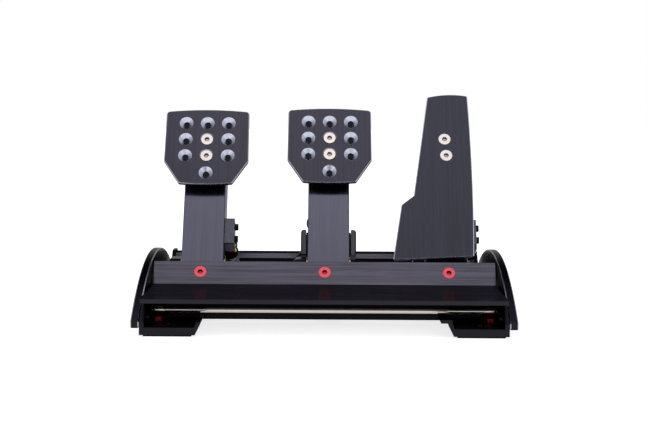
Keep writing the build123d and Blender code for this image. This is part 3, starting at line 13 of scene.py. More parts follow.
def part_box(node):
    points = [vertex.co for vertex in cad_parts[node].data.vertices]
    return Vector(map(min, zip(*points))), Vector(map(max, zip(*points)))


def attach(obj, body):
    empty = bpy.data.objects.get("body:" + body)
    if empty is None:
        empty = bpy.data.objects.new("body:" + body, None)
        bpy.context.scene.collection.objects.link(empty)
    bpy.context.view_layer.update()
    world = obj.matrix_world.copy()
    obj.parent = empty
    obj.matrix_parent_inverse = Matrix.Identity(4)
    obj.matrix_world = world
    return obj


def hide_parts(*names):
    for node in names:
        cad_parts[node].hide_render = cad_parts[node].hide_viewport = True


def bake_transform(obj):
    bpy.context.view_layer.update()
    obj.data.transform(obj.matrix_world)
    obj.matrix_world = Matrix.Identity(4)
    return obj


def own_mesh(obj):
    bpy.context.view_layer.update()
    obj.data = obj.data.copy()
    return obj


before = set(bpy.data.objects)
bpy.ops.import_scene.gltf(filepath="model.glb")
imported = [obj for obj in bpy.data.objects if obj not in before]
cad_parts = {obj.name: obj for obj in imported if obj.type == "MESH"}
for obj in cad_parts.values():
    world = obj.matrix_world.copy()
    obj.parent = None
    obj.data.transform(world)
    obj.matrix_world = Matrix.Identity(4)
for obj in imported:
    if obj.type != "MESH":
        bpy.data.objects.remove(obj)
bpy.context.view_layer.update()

LOG = logging.getLogger("pedal_set")
RIGHT = (1.0, 0.0, 0.0)
FORWARD = (0.0, -1.0, 0.0)
BACK = (0.0, 1.0, 0.0)

# The part's source measures in millimetres from its front nose and from a floor above the soles.
MM = 0.001
HALF_DEPTH = 171.0
SOLE_DROP = 1.1

# Where the middles of the arms stand across the base.
CLUTCH_X = -126.0
BRAKE_X = 3.8
THROTTLE_X = 125.6

# The arms' front faces start at this depth and height and lean back.
ARM_FOOT = (142.0, 54.5)
ARM_LEAN = math.radians(30.0)
UP_ARM = (0.0, math.sin(ARM_LEAN), math.cos(ARM_LEAN))
OUT_OF_ARM = (0.0, -math.cos(ARM_LEAN), math.sin(ARM_LEAN))

# The brake's link falls to the rear by this angle.
BRAKE_DROP = math.radians(20.0)


class Grain(Enum):
    """The direction in which a metal surface is brushed."""

    ACROSS = "across"
    UP_ARM = "up_arm"
    ALONG = "along"
    NONE = "none"


class Mask(Enum):
    """Where a metal piece has another tone: bevels, pad holes, or a front face of painted light and
    shade.
    """

    NONE = "none"
    BEVEL = "bevel"
    PAD = "pad"
    # A front face whose tone is painted light and shade, standing in for how light falls on it.
    FRONT = "front"


def linear(red: float, green: float, blue: float) -> tuple[float, float, float, float]:
    """Turn a colour as it is seen, 0 to 255, into the linear colour of a shader.

    Args:
        red: Red, 0 to 255.
        green: Green, 0 to 255.
        blue: Blue, 0 to 255.

    Returns:
        Linear red, green, blue and an alpha of one.
    """
    full, toe, slope, offset, power = 255, 0.04045, 12.92, 0.055, 2.4
    values = []
    for channel in (red, green, blue):
        share = channel / full
        dark = share <= toe
        values.append(share / slope if dark else ((share + offset) / (1 + offset)) ** power)
    return values[0], values[1], values[2], 1.0


def tones(colour: tuple, contrast: float) -> tuple[tuple, tuple]:
    """Spread a colour into a darker and a brighter tone.

    Args:
        colour: Red, green and blue as they are seen, 0 to 255.
        contrast: How far each tone lies from the colour, as a share of it.

    Returns:
        The darker and the brighter tone, as linear colours.
    """
    channels = linear(*colour)[:3]
    low = tuple(channel * (1 - contrast) for channel in channels) + (1,)
    high = tuple(min(1, channel * (1 + contrast)) for channel in channels) + (1,)
    return low, high


def spread(value: float, share: float) -> tuple[float, float]:
    """The range from a share of a value below it to as much above it."""
    return value * (1 - share), value * (1 + share)


def place(x: float, y: float, z: float) -> Vector:
    """A point of the part's source in the shared frame.

    Args:
        x: Millimetres to the right.
        y: Millimetres behind the front nose.
        z: Millimetres above the source's own floor, which lies a little above the soles.

    Returns:
        The point in metres.
    """
    return Vector((x * MM, (y - HALF_DEPTH) * MM, (z + SOLE_DROP) * MM))


def arm_place(across: float, up: float, inset: float, arm_x: float = BRAKE_X) -> Vector:
    """A point in an arm's own sizes.

    Args:
        across: Millimetres from the arm's middle.
        up: Millimetres up its front face.
        inset: Millimetres behind that face.
        arm_x: Where the arm's middle stands across the base.

    Returns:
        The point in metres.
    """
    depth = ARM_FOOT[0] + up * math.sin(ARM_LEAN) + inset * math.cos(ARM_LEAN)
    height = ARM_FOOT[1] + up * math.cos(ARM_LEAN) - inset * math.sin(ARM_LEAN)
    return place(arm_x + across, depth, height)


def along(axis: Vector, start: Vector) -> Matrix:
    """The placing of a shape that was made up its own Z axis onto a link.

    Args:
        axis: The link's direction.
        start: Where the shape starts.

    Returns:
        The matrix.
    """
    side = Vector(RIGHT)
    matrix = Matrix((side, axis.cross(side), axis)).transposed().to_4x4()
    matrix.translation = start
    return matrix


class Tree:
    """Adds and joins the nodes of one node tree."""

    def __init__(self, tree: bpy.types.NodeTree) -> None:
        """Work on this tree."""
        self.tree = tree

    def add(self, kind: str, **settings: object) -> bpy.types.Node:
        """Add a node.

        Args:
            kind: The node's type name.
            **settings: Its properties.

        Returns:
            The new node.
        """
        node = self.tree.nodes.new(kind)
        for key, value in settings.items():
            setattr(node, key, value)
        return node

    def link(self, source: bpy.types.NodeSocket, target: bpy.types.NodeSocket) -> None:
        """Join two sockets."""
        self.tree.links.new(source, target)

    def feed(self, value: object, target: bpy.types.NodeSocket) -> None:
        """Give a socket another socket or a plain value.

        Args:
            value: The other socket, or the value.
            target: The socket that takes it.
        """
        if isinstance(value, bpy.types.NodeSocket):
            self.link(value, target)
        else:
            target.default_value = value

    def math(self, operation: str, *values: object) -> bpy.types.NodeSocket:
        """Add a math node.

        Args:
            operation: The name of the operation.
            *values: What goes into it.

        Returns:
            The result socket.
        """
        node = self.add("ShaderNodeMath", operation=operation)
        for socket, value in zip(node.inputs, values):
            self.feed(value, socket)
        return node.outputs[0]

    def seen(self) -> bpy.types.NodeSocket:
        """Tell the rays that look at a surface from those that only light something.

        Returns:
            One for camera, glossy and transmission rays, and zero for the others.
        """
        path = self.add("ShaderNodeLightPath")
        seen = self.math("MAXIMUM", path.outputs["Is Camera Ray"], path.outputs["Is Glossy Ray"])
        return self.math("MAXIMUM", seen, path.outputs["Is Transmission Ray"])


class MaterialTree(Tree):
    """Builds the shader nodes of one material."""

    # A Mix node has sockets for several kinds of value: these are those for colours.
    mix_inputs = (0, 6, 7)
    mix_output = 2
    edge_samples = 4
    # Samples of the ambient occlusion that places the painted shade in hollows.
    painted_shade_samples = 8

    def __init__(self, name: str) -> None:
        """Start an empty material.

        Args:
            name: The material's name.
        """
        self.material = bpy.data.materials.new(name)
        self.material.use_nodes = True
        super().__init__(self.material.node_tree)
        self.tree.nodes.clear()
        self.output = self.add("ShaderNodeOutputMaterial")

    def principled(self) -> bpy.types.Node:
        """Add the main shader and join it to the output.

        Returns:
            The shader.
        """
        shader = self.add("ShaderNodeBsdfPrincipled")
        self.link(shader.outputs[0], self.output.inputs["Surface"])
        return shader

    def vector(self, operation: str, *values: object) -> bpy.types.NodeSocket:
        """Add a vector math node.

        Args:
            operation: The name of the operation.
            *values: Sockets or vectors.

        Returns:
            The resulting vector, or the number that a dot product gives.
        """
        node = self.add("ShaderNodeVectorMath", operation=operation)
        for socket, value in zip(node.inputs, values):
            self.feed(value, socket)
        return node.outputs["Value" if operation == "DOT_PRODUCT" else "Vector"]

    def mix(self, factor: object, first: object, second: object) -> bpy.types.NodeSocket:
        """Mix two colours.

        Args:
            factor: How much of the second, a socket or a number.
            first: A socket or a colour.
            second: A socket or a colour.

        Returns:
            The mixed colour.
        """
        node = self.add("ShaderNodeMix", data_type="RGBA")
        for index, value in zip(self.mix_inputs, (factor, first, second)):
            self.feed(value, node.inputs[index])
        return node.outputs[self.mix_output]

    def weigh(
        self, first: bpy.types.NodeSocket, second: bpy.types.NodeSocket, share: float
    ) -> bpy.types.NodeSocket:
        """Add two values, the first times its share and the second times the rest of one."""
        rest = self.math("MULTIPLY", second, 1 - share)
        return self.math("ADD", self.math("MULTIPLY", first, share), rest)

    def object_point(self) -> bpy.types.NodeSocket:
        """The point's own Object coordinates."""
        return self.add("ShaderNodeTexCoord").outputs["Object"]

    def true_normal(self) -> bpy.types.NodeSocket:
        """The direction that the face itself points in."""
        return self.add("ShaderNodeNewGeometry").outputs["True Normal"]

    def remap(
        self, value: bpy.types.NodeSocket, source: tuple, target: tuple
    ) -> bpy.types.NodeSocket:
        """Move a value from one range to another.

        Args:
            value: The value.
            source: The range it comes in.
            target: The range it goes out in.

        Returns:
            The moved value.
        """
        node = self.add("ShaderNodeMapRange")
        self.link(value, node.inputs["Value"])
        for label, number in zip(("From Min", "From Max", "To Min", "To Max"), source + target):
            node.inputs[label].default_value = number
        return node.outputs[0]

    def noise(
        self, vector: bpy.types.NodeSocket, scale: float = 1.0, detail: float = 2.0
    ) -> bpy.types.NodeSocket:
        """Add a noise texture.

        Args:
            vector: Where to read it.
            scale: Its waves to the metre, or one where the coordinates are already stretched.
            detail: How many finer layers it has.

        Returns:
            Its value.
        """
        node = self.add("ShaderNodeTexNoise")
        self.link(vector, node.inputs["Vector"])
        node.inputs["Scale"].default_value = scale
        node.inputs["Detail"].default_value = detail
        return node.outputs[0]

    def ramp(
        self, value: bpy.types.NodeSocket, colours: tuple[tuple, tuple], span: tuple[float, float]
    ) -> bpy.types.NodeSocket:
        """Turn a value into a colour between two.

        Args:
            value: The value.
            colours: The colours below and above the span.
            span: Where the change starts and ends.

        Returns:
            The colour.
        """
        node = self.add("ShaderNodeValToRGB")
        self.link(value, node.inputs[0])
        for stop, colour, position in zip(node.color_ramp.elements, colours, span):
            stop.position = position
            stop.color = colour
        return node.outputs[0]

    def coordinates(self, turn: float = 0.0, scale: tuple = (1, 1, 1)) -> bpy.types.NodeSocket:
        """Object coordinates, turned about X and then stretched.

        Args:
            turn: The angle about X.
            scale: Stretch along X, Y and Z after the turn.

        Returns:
            The vector socket.
        """
        mapping = self.add("ShaderNodeMapping", vector_type="POINT")
        mapping.inputs["Rotation"].default_value = (turn, 0, 0)
        self.link(self.object_point(), mapping.inputs["Vector"])
        return self.vector("MULTIPLY", mapping.outputs[0], scale)

    def bump(
        self, height: bpy.types.NodeSocket, strength: float, distance: float, edge: float
    ) -> bpy.types.NodeSocket:
        """Add a bump, on edges that catch the light as if they were rounded.

        Args:
            height: The height of the bump.
            strength: Its strength.
            distance: Its depth in metres.
            edge: The radius of the rounded edges in metres.

        Returns:
            The normal.
        """
        node = self.add("ShaderNodeBump")
        node.inputs["Strength"].default_value = strength
        node.inputs["Distance"].default_value = distance
        self.link(height, node.inputs["Height"])
        rounded = self.add("ShaderNodeBevel", samples=self.edge_samples)
        rounded.inputs["Radius"].default_value = edge
        self.link(rounded.outputs[0], node.inputs["Normal"])
        return node.outputs[0]

    def openness(self, reach: float) -> bpy.types.NodeSocket:
        """How open the surface is: near zero deep in a narrow hollow of the same piece, where shade
        is painted.

        Args:
            reach: How far away walls count, in metres.

        Returns:
            The openness, from zero to one.
        """
        samples = self.painted_shade_samples
        node = self.add("ShaderNodeAmbientOcclusion", samples=samples, only_local=True)
        node.inputs["Distance"].default_value = reach
        return node.outputs["AO"]


@dataclass(frozen=True)
class Lines:
    """The brushed lines of one grain, wide ones and hair lines.

    Attributes:
        direction: Which way they run.
        turn: The angle about X that the coordinates are turned by first.
        wide: The wide lines' waves to the metre along X, Y and Z.
        hair: The hair lines' waves to the metre along X, Y and Z.
    """

    direction: tuple
    turn: float
    wide: tuple
    hair: tuple


LINES = {
    Grain.ACROSS: Lines(RIGHT, 0.0, (9, 620, 620), (30, 2400, 2400)),
    Grain.UP_ARM: Lines(UP_ARM, ARM_LEAN, (620, 620, 9), (2400, 2400, 30)),
    Grain.ALONG: Lines(BACK, 0.0, (420, 9, 420), (2400, 30, 2400)),
}


@dataclass(frozen=True)
class PadHoles:
    """The pattern of a pad's ten holes, in millimetres: three rows of three and one below.

    Attributes:
        pitch: From hole to hole across the pad.
        row_pitch: From row to row up the pad.
        last_drop: From the middle hole down to the last one.
        reach: How far from a hole's middle its sink may reach.
    """

    pitch: float = 22.4
    row_pitch: float = 19.25
    last_drop: float = 39.3
    reach: float = 7.8

    def within(self, nodes: MaterialTree, *apart: bpy.types.NodeSocket) -> bpy.types.NodeSocket:
        """One where a point so far across and up from a hole lies in its reach, zero elsewhere."""
        squares = [nodes.math("MULTIPLY", value, value) for value in apart]
        return nodes.math("LESS_THAN", nodes.math("ADD", *squares), (self.reach * MM) ** 2)

    def near(self, nodes: MaterialTree, middle: Vector) -> bpy.types.NodeSocket:
        """Where a point of a pad lies by one of its holes.

        Args:
            nodes: The material's tree.
            middle: The middle of the pad's middle hole.

        Returns:
            One there, and zero elsewhere.
        """
        point = nodes.vector("SUBTRACT", nodes.object_point(), tuple(middle))
        across = nodes.vector("DOT_PRODUCT", point, RIGHT)
        up = nodes.vector("DOT_PRODUCT", point, UP_ARM)
        rests = []
        for value, step in ((across, self.pitch * MM), (up, self.row_pitch * MM)):
            index = nodes.math("ROUND", nodes.math("DIVIDE", value, step))
            index = nodes.math("MINIMUM", nodes.math("MAXIMUM", index, -1.0), 1.0)
            rests.append(nodes.math("SUBTRACT", value, nodes.math("MULTIPLY", index, step)))
        last = self.within(nodes, across, nodes.math("ADD", up, self.last_drop * MM))
        return nodes.math("MAXIMUM", self.within(nodes, *rests), last)


@dataclass(frozen=True)
class Brushed:
    """An anodised or bare metal with brushed streaks, or with a fine blasted face.

    Attributes:
        name: The name of its material.
        colour: Its colour as it is seen, 0 to 255.
        roughness: Its mean roughness.
        grain: Which way it is brushed.
        contrast: How much darker and brighter its streaks are, as a share of the colour.
        depth: The depth of the streaks in metres.
        edge: How much light it throws back at a glancing angle.
        stretched: How far the streaks draw out its highlights.
        rounding: The radius at which its edges catch the light, in metres.
        painted_hollow_shade: The painted shade deep in narrow hollows, where it has one.
        mask: Where it has another tone.
        bare: The colour of the sinks of a pad's holes.
        bevel_or_painted_front: The colour of the bevels, or the painted light and shade of the
            front face.
        centre: A pad's middle hole, in millimetres across the base and up the arm.
        front: How far back the front face with painted light and shade may lie, in metres.
    """

    name: str
    colour: tuple
    roughness: float = 0.3
    grain: Grain = Grain.ACROSS
    contrast: float = 0.2
    depth: float = 0.00002
    edge: float = 0.35
    stretched: float = 0.7
    rounding: float = 0.0003
    # Painted shade that darkens narrow hollows such as hex sockets, where set.
    painted_hollow_shade: tuple | None = None
    mask: Mask = Mask.NONE
    bare: tuple = (225, 225, 232)
    bevel_or_painted_front: tuple = (150, 150, 160)
    centre: tuple = (0.0, 0.0)
    front: float = 0.0

    # What all brushed and blasted finishes share.
    blast_waves = 900.0
    tone_waves = 14.0
    wide_share = 0.62
    streak_share = 0.85
    colour_span = (0.4, 0.6)
    rough_span = (0.35, 0.65)
    rough_swing = 0.15
    bump_strength = 0.35
    # How far walls count for the painted hollow shade, and the span over which it fades in.
    painted_shade_reach = 0.004
    painted_shade_span = (0.35, 0.8)

    # A face is slanted where the cosine of its angle to the main faces lies between the first two,
    # and it looks forward where the cosine of its angle to the front is above the last.
    slant_cosines = (0.55, 0.9)
    front_cosine = 0.9

    def streaks(self, nodes: MaterialTree) -> bpy.types.NodeSocket:
        """The brushed lines, drawn out along the grain, or a blasted face's fine grain.

        Args:
            nodes: The material's tree.

        Returns:
            A value about one half.
        """
        if self.grain is Grain.NONE:
            return nodes.noise(nodes.coordinates(), self.blast_waves, detail=4.0)
        lines = LINES[self.grain]
        wide = nodes.noise(nodes.coordinates(lines.turn, lines.wide), detail=4.0)
        hair = nodes.noise(nodes.coordinates(lines.turn, lines.hair))
        return nodes.weigh(wide, hair, self.wide_share)

    def slanted(self, nodes: MaterialTree) -> bpy.types.NodeSocket:
        """Where a face stands at about half a right angle to the piece's main faces.

        Args:
            nodes: The material's tree.

        Returns:
            One there, and zero elsewhere.
        """
        main = OUT_OF_ARM if self.grain is Grain.UP_ARM else RIGHT
        cosine = nodes.math("ABSOLUTE", nodes.vector("DOT_PRODUCT", nodes.true_normal(), main))
        low, high = self.slant_cosines
        above = nodes.math("GREATER_THAN", cosine, low)
        return nodes.math("MULTIPLY", above, nodes.math("LESS_THAN", cosine, high))

    def in_front(self, nodes: MaterialTree) -> bpy.types.NodeSocket:
        """Where a face looks forward and lies at the front of the piece.

        Args:
            nodes: The material's tree.

        Returns:
            One there, and zero elsewhere.
        """
        facing = nodes.vector("DOT_PRODUCT", nodes.true_normal(), FORWARD)
        ahead = nodes.vector("DOT_PRODUCT", nodes.object_point(), FORWARD)
        facing = nodes.math("GREATER_THAN", facing, self.front_cosine)
        return nodes.math("MULTIPLY", facing, nodes.math("GREATER_THAN", ahead, -self.front))

    def machined_or_painted(self, nodes: MaterialTree, paint: bpy.types.NodeSocket) -> bpy.types.NodeSocket:
        """Give the places that the mask names their own tone, a painted light and shade on a front
        face.

        Args:
            nodes: The material's tree.
            paint: The colour of the rest.

        Returns:
            The colour with these places.
        """
        bevel_or_painted_front = linear(*self.bevel_or_painted_front)
        # The front face gets a painted tone that stands in for light and shade.
        if self.mask is Mask.FRONT:
            return nodes.mix(self.in_front(nodes), paint, bevel_or_painted_front)
        slanted = self.slanted(nodes)
        paint = nodes.mix(slanted, paint, bevel_or_painted_front)
        if self.mask is Mask.BEVEL:
            return paint
        middle = arm_place(0, self.centre[1], 0, self.centre[0])
        sinks = nodes.math("MULTIPLY", slanted, PadHoles().near(nodes, middle))
        return nodes.mix(sinks, paint, linear(*self.bare))

    def make(self) -> bpy.types.Material:
        """Build the material.

        Returns:
            The material.
        """
        nodes = MaterialTree(self.name)
        shader = nodes.principled()
        shader.inputs["Metallic"].default_value = 1.0
        shader.inputs["Specular Tint"].default_value = (self.edge, self.edge, self.edge, 1)
        tone = nodes.noise(nodes.coordinates(), self.tone_waves, detail=3.0)
        streak = self.streaks(nodes)
        mixed = nodes.weigh(streak, tone, self.streak_share)
        paint = nodes.ramp(mixed, tones(self.colour, self.contrast), self.colour_span)
        if self.mask is not Mask.NONE:
            paint = self.machined_or_painted(nodes, paint)
        # Paint shade deep in narrow hollows, from ambient occlusion.
        if self.painted_hollow_shade is not None:
            openness = nodes.remap(nodes.openness(self.painted_shade_reach), self.painted_shade_span, (0.0, 1.0))
            paint = nodes.mix(openness, linear(*self.painted_hollow_shade), paint)
        nodes.link(paint, shader.inputs["Base Color"])
        rough = nodes.remap(mixed, self.rough_span, spread(self.roughness, self.rough_swing))
        nodes.link(rough, shader.inputs["Roughness"])
        if self.grain is not Grain.NONE and self.stretched:
            shader.inputs["Anisotropic"].default_value = self.stretched
            direction = LINES[self.grain].direction
            across = nodes.vector("CROSS_PRODUCT", nodes.true_normal(), direction)
            nodes.link(across, shader.inputs["Tangent"])
        normal = nodes.bump(streak, self.bump_strength, self.depth, self.rounding)
        nodes.link(normal, shader.inputs["Normal"])
        return nodes.material


@dataclass(frozen=True)
class Moulded:
    """A plastic, rubber or painted surface with a fine texture.

    Attributes:
        name: The name of its material.
        colour: Its colour as it is seen, 0 to 255.
        roughness: Its mean roughness.
        texture: The texture's waves to the metre.
        depth: The depth of the texture in metres.
        contrast: How much darker and brighter its clouds are, as a share of the colour.
        rounding: The radius at which its edges catch the light, in metres.
        gloss: How much it mirrors from straight ahead.
    """

    name: str
    colour: tuple
    roughness: float = 0.55
    texture: float = 1400.0
    depth: float = 0.00003
    contrast: float = 0.12
    rounding: float = 0.0003
    gloss: float = 0.18

    # What all moulded finishes share.
    tone_waves = 45.0
    colour_span = (0.35, 0.65)
    rough_swing = 0.2
    bump_strength = 0.4

    def make(self) -> bpy.types.Material:
        """Build the material.

        Returns:
            The material.
        """
        nodes = MaterialTree(self.name)
        shader = nodes.principled()
        shader.inputs["Specular IOR Level"].default_value = self.gloss
        tone = nodes.noise(nodes.coordinates(), self.tone_waves, detail=4.0)
        paint = nodes.ramp(tone, tones(self.colour, self.contrast), self.colour_span)
        nodes.link(paint, shader.inputs["Base Color"])
        rough = nodes.remap(tone, (0.0, 1.0), spread(self.roughness, self.rough_swing))
        nodes.link(rough, shader.inputs["Roughness"])
        fine = nodes.noise(nodes.coordinates(), self.texture)
        normal = nodes.bump(fine, self.bump_strength, self.depth, self.rounding)
        nodes.link(normal, shader.inputs["Normal"])
        return nodes.material


# Dark anodised plates, arms and frames
SIDE_METAL = Brushed(
    "side_metal",
    colour=(32, 32, 37),
    grain=Grain.ALONG,
    contrast=0.1,
    depth=0.000008,
    stretched=0.0,
    mask=Mask.BEVEL,
    bevel_or_painted_front=(176, 178, 188),
)
HEEL_METAL = Brushed(
    "heel_metal",
    colour=(73, 71, 81),
    roughness=0.22,
    contrast=0.3,
    depth=0.00003,
    edge=0.17,
    stretched=0.85,
    # Its front lip is painted darker than its top, as painted shade.
    mask=Mask.FRONT,
    bevel_or_painted_front=(40, 39, 45),
    front=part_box("heel_plate")[0][1] + MM,
)
FOOT_METAL = Brushed("foot_metal", colour=(34, 33, 38), roughness=0.34, contrast=0.12)
CLUTCH_PAD_METAL = Brushed(
    "clutch_pad_metal",
    colour=(60, 59, 68),
    roughness=0.26,
    grain=Grain.UP_ARM,
    contrast=0.12,
    mask=Mask.PAD,
    bare=(184, 188, 204),
    bevel_or_painted_front=(156, 156, 168),
    centre=(CLUTCH_X + 1.0, 132.7),
)
BRAKE_PAD_METAL = replace(CLUTCH_PAD_METAL, name="brake_pad_metal", centre=(BRAKE_X + 0.6, 135.2))
PLATE_METAL = Brushed(
    "plate_metal",
    colour=(57, 57, 66),
    roughness=0.26,
    grain=Grain.UP_ARM,
    contrast=0.12,
    mask=Mask.BEVEL,
    bevel_or_painted_front=(190, 190, 202),
)
ARM_METAL = Brushed(
    "arm_metal",
    colour=(88, 87, 101),
    roughness=0.24,
    grain=Grain.UP_ARM,
    contrast=0.1,
    stretched=0.85,
)
LINK_METAL = Brushed("link_metal", colour=(76, 76, 86), roughness=0.34, grain=Grain.NONE)
YOKE_METAL = Brushed("yoke_metal", colour=(64, 64, 71), roughness=0.34, grain=Grain.NONE)
FRAME_METAL = Brushed("frame_metal", colour=(20, 20, 22), roughness=0.38, grain=Grain.NONE)
BAR_METAL = Brushed(
    "bar_metal",
    colour=(20, 20, 22),
    roughness=0.34,
    contrast=0.12,
    edge=0.05,
    # Its front face is painted far lighter than its black top, as a painted highlight.
    mask=Mask.FRONT,
    bevel_or_painted_front=(108, 107, 118),
    front=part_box("rear_cross_bar")[0][1] + MM,
)

# Screws, rods, springs, bushes and sockets
BRIGHT_STEEL = Brushed(
    "bright_steel",
    colour=(208, 198, 194),
    roughness=0.22,
    grain=Grain.NONE,
    contrast=0.06,
    edge=1.0,
    # Painted shade darkens its hex sockets.
    painted_hollow_shade=(48, 46, 48),
)
TURNED_STEEL = Brushed(
    "turned_steel", colour=(208, 198, 192), roughness=0.2, contrast=0.08, edge=1.0
)
SPRING_STEEL = Brushed(
    "spring_steel",
    colour=(90, 90, 96),
    roughness=0.28,
    grain=Grain.NONE,
    contrast=0.08,
    edge=1.0,
)
BLACK_STEEL = Brushed(
    "black_steel", colour=(26, 26, 29), roughness=0.35, grain=Grain.NONE, contrast=0.1
)
RED_METAL = Brushed(
    "red_metal",
    colour=(198, 78, 88),
    grain=Grain.NONE,
    contrast=0.08,
    edge=0.8,
    # Painted shade darkens its hex sockets.
    painted_hollow_shade=(70, 8, 18),
)
DEEP_RED_METAL = Brushed(
    "deep_red_metal", colour=(150, 26, 40), grain=Grain.NONE, contrast=0.1, edge=0.6
)
BRASS = Brushed(
    "brass", colour=(214, 180, 118), roughness=0.28, grain=Grain.NONE, contrast=0.08, edge=0.9
)
SOCKET_METAL = Brushed("socket_metal", colour=(190, 190, 194), contrast=0.08, edge=1.0)

# Plastics, rubbers and the circuit board
BLACK_PLASTIC = Moulded("black_plastic", colour=(18, 18, 20), roughness=0.5)
# Near-black plugs behind the pads' bores, standing in for the shade seen down the bores.
BORE_SHADE_PLASTIC = Moulded("bore_shade_plastic", colour=(10, 10, 11), roughness=0.6)
BOARD = Moulded("board", colour=(28, 92, 52), roughness=0.35, texture=300.0)
FOOT_RUBBER = Moulded("foot_rubber", colour=(22, 22, 23), roughness=0.85, texture=700.0)
RING_RUBBER = Moulded("ring_rubber", colour=(34, 34, 38), texture=500.0)
LEAD_SKIN = Moulded("lead_skin", colour=(22, 22, 25), roughness=0.45, texture=900.0)

# The nodes of the frame that have each finish
FINISH_OF = {
    SIDE_METAL: "left_side_plate right_side_plate",
    HEEL_METAL: "heel_plate",
    FOOT_METAL: "front_feet rear_feet rear_bar_brackets",
    CLUTCH_PAD_METAL: "clutch_pad",
    BRAKE_PAD_METAL: "brake_pad",
    PLATE_METAL: "throttle_plate",
    ARM_METAL: "clutch_arm brake_arm throttle_arm",
    LINK_METAL: "clutch_link_block throttle_link_block brake_thrust_block",
    YOKE_METAL: "brake_yoke",
    FRAME_METAL: "front_beam clutch_frame brake_frame throttle_frame clutch_adjuster"
    " throttle_adjuster",
    BAR_METAL: "rear_cross_bar",
    BRIGHT_STEEL: "clutch_pad_fasteners brake_pad_fasteners throttle_pad_fasteners load_cell",
    TURNED_STEEL: "front_tie_rod clutch_link_tube throttle_link_tube pivot_axles",
    BLACK_STEEL: "base_screws clutch_link_fasteners throttle_link_fasteners brake_link_pin"
    " control_box_screws",
    RED_METAL: "front_plate_screws brake_stiffness_knob",
    DEEP_RED_METAL: "foot_nuts clutch_link_rod throttle_link_rod",
    BRASS: "clutch_bushes brake_bushes throttle_bushes",
    SOCKET_METAL: "lead_sockets",
    BLACK_PLASTIC: "sensor_housings control_box control_box_lid vibration_motor",
    # The hole plugs paint the shade in the pads' bores.
    BORE_SHADE_PLASTIC: "clutch_hole_plugs brake_hole_plugs",
    BOARD: "control_board",
    FOOT_RUBBER: "foot_pads lead_gland",
}


class Workshop:
    """Makes each finish once, dresses pieces with it and tidies the meshes of new pieces."""

    merge_distance = 0.000001

    def __init__(self) -> None:
        """Start with no materials made."""
        self.made: dict[str, bpy.types.Material] = {}

    def material(self, finish: Brushed | Moulded) -> bpy.types.Material:
        """The material of a finish, built on first use.

        Args:
            finish: The finish.

        Returns:
            Its material.
        """
        if finish.name not in self.made:
            self.made[finish.name] = finish.make()
        return self.made[finish.name]

    def dress(self, piece: bpy.types.Object, finish: Brushed | Moulded) -> None:
        """Give a piece one finish."""
        piece.data.materials.clear()
        piece.data.materials.append(self.material(finish))

    def outward(self, piece: bpy.types.Object) -> None:
        """Merge a new piece's doubled points and point its faces outwards.

        Args:
            piece: The piece.
        """
        mesh = bmesh.new()
        mesh.from_mesh(piece.data)
        bmesh.ops.remove_doubles(mesh, verts=mesh.verts, dist=self.merge_distance)
        bmesh.ops.recalc_face_normals(mesh, faces=mesh.faces)
        mesh.to_mesh(piece.data)
        mesh.free()


def dress_frame(shop: Workshop) -> None:
    """Give each node of the frame its finish.

    Args:
        shop: The workshop that makes the finishes.
    """
    for finish, names in FINISH_OF.items():
        for name in names.split():
            shop.dress(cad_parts[name], finish)
        LOG.info("%s: %s", finish.name, names)


class GeometryTree(Tree):
    """Builds a geometry node tree with named inputs and keeps what it makes."""

    def __init__(self, name: str, sizes: dict[str, float]) -> None:
        """Start a tree whose inputs are these named sizes.

        Args:
            name: The tree's name.
            sizes: Input names and values.
        """
        super().__init__(bpy.data.node_groups.new(name, "GeometryNodeTree"))
        self.sizes = sizes
        interface = self.tree.interface
        interface.new_socket("Geometry", in_out="INPUT", socket_type="NodeSocketGeometry")
        interface.new_socket("Geometry", in_out="OUTPUT", socket_type="NodeSocketGeometry")
        for label in sizes:
            interface.new_socket(label, in_out="INPUT", socket_type="NodeSocketFloat")
        self.input = self.add("NodeGroupInput")
        self.output = self.add("NodeGroupOutput")

    def feed(self, value: object, target: bpy.types.NodeSocket) -> None:
        """Give a socket another socket, a plain value, or one of the tree's inputs.

        Args:
            value: The other socket, the value, or the input's name.
            target: The socket that takes it.
        """
        if isinstance(value, str):
            value = self.input.outputs[value]
        super().feed(value, target)

    def finish(self, geometry: bpy.types.NodeSocket, material: bpy.types.Material) -> None:
        """Realise the geometry, give it the material and end the tree.

        Args:
            geometry: What the tree has made.
            material: Its material.
        """
        realize = self.add("GeometryNodeRealizeInstances")
        paint = self.add("GeometryNodeSetMaterial")
        paint.inputs["Material"].default_value = material
        self.link(geometry, realize.inputs[0])
        self.link(realize.outputs[0], paint.inputs[0])
        self.link(paint.outputs[0], self.output.inputs[0])

    def run(self, name: str) -> bpy.types.Object:
        """Evaluate the tree on an empty mesh and keep the result as a plain mesh.

        Args:
            name: The piece's name.

        Returns:
            The new object.
        """
        carrier = bpy.data.objects.new(name + "_carrier", bpy.data.meshes.new(name + "_carrier"))
        bpy.context.scene.collection.objects.link(carrier)
        modifier = carrier.modifiers.new("shape", "NODES")
        modifier.node_group = self.tree
        for item in self.tree.interface.items_tree:
            if item.in_out == "INPUT" and item.name in self.sizes:
                modifier[item.identifier] = float(self.sizes[item.name])
        return keep_mesh(carrier, name)


def keep_mesh(source: bpy.types.Object, name: str) -> bpy.types.Object:
    """Turn an object as it is evaluated into a new object with a plain mesh.

    Args:
        source: The object, which is removed.
        name: The name of the new one.

    Returns:
        The new object.
    """
    graph = bpy.context.evaluated_depsgraph_get()
    graph.update()
    data = bpy.data.meshes.new_from_object(source.evaluated_get(graph))
    data.name = name
    bpy.data.objects.remove(source)
    piece = bpy.data.objects.new(name, data)
    bpy.context.scene.collection.objects.link(piece)
    return piece


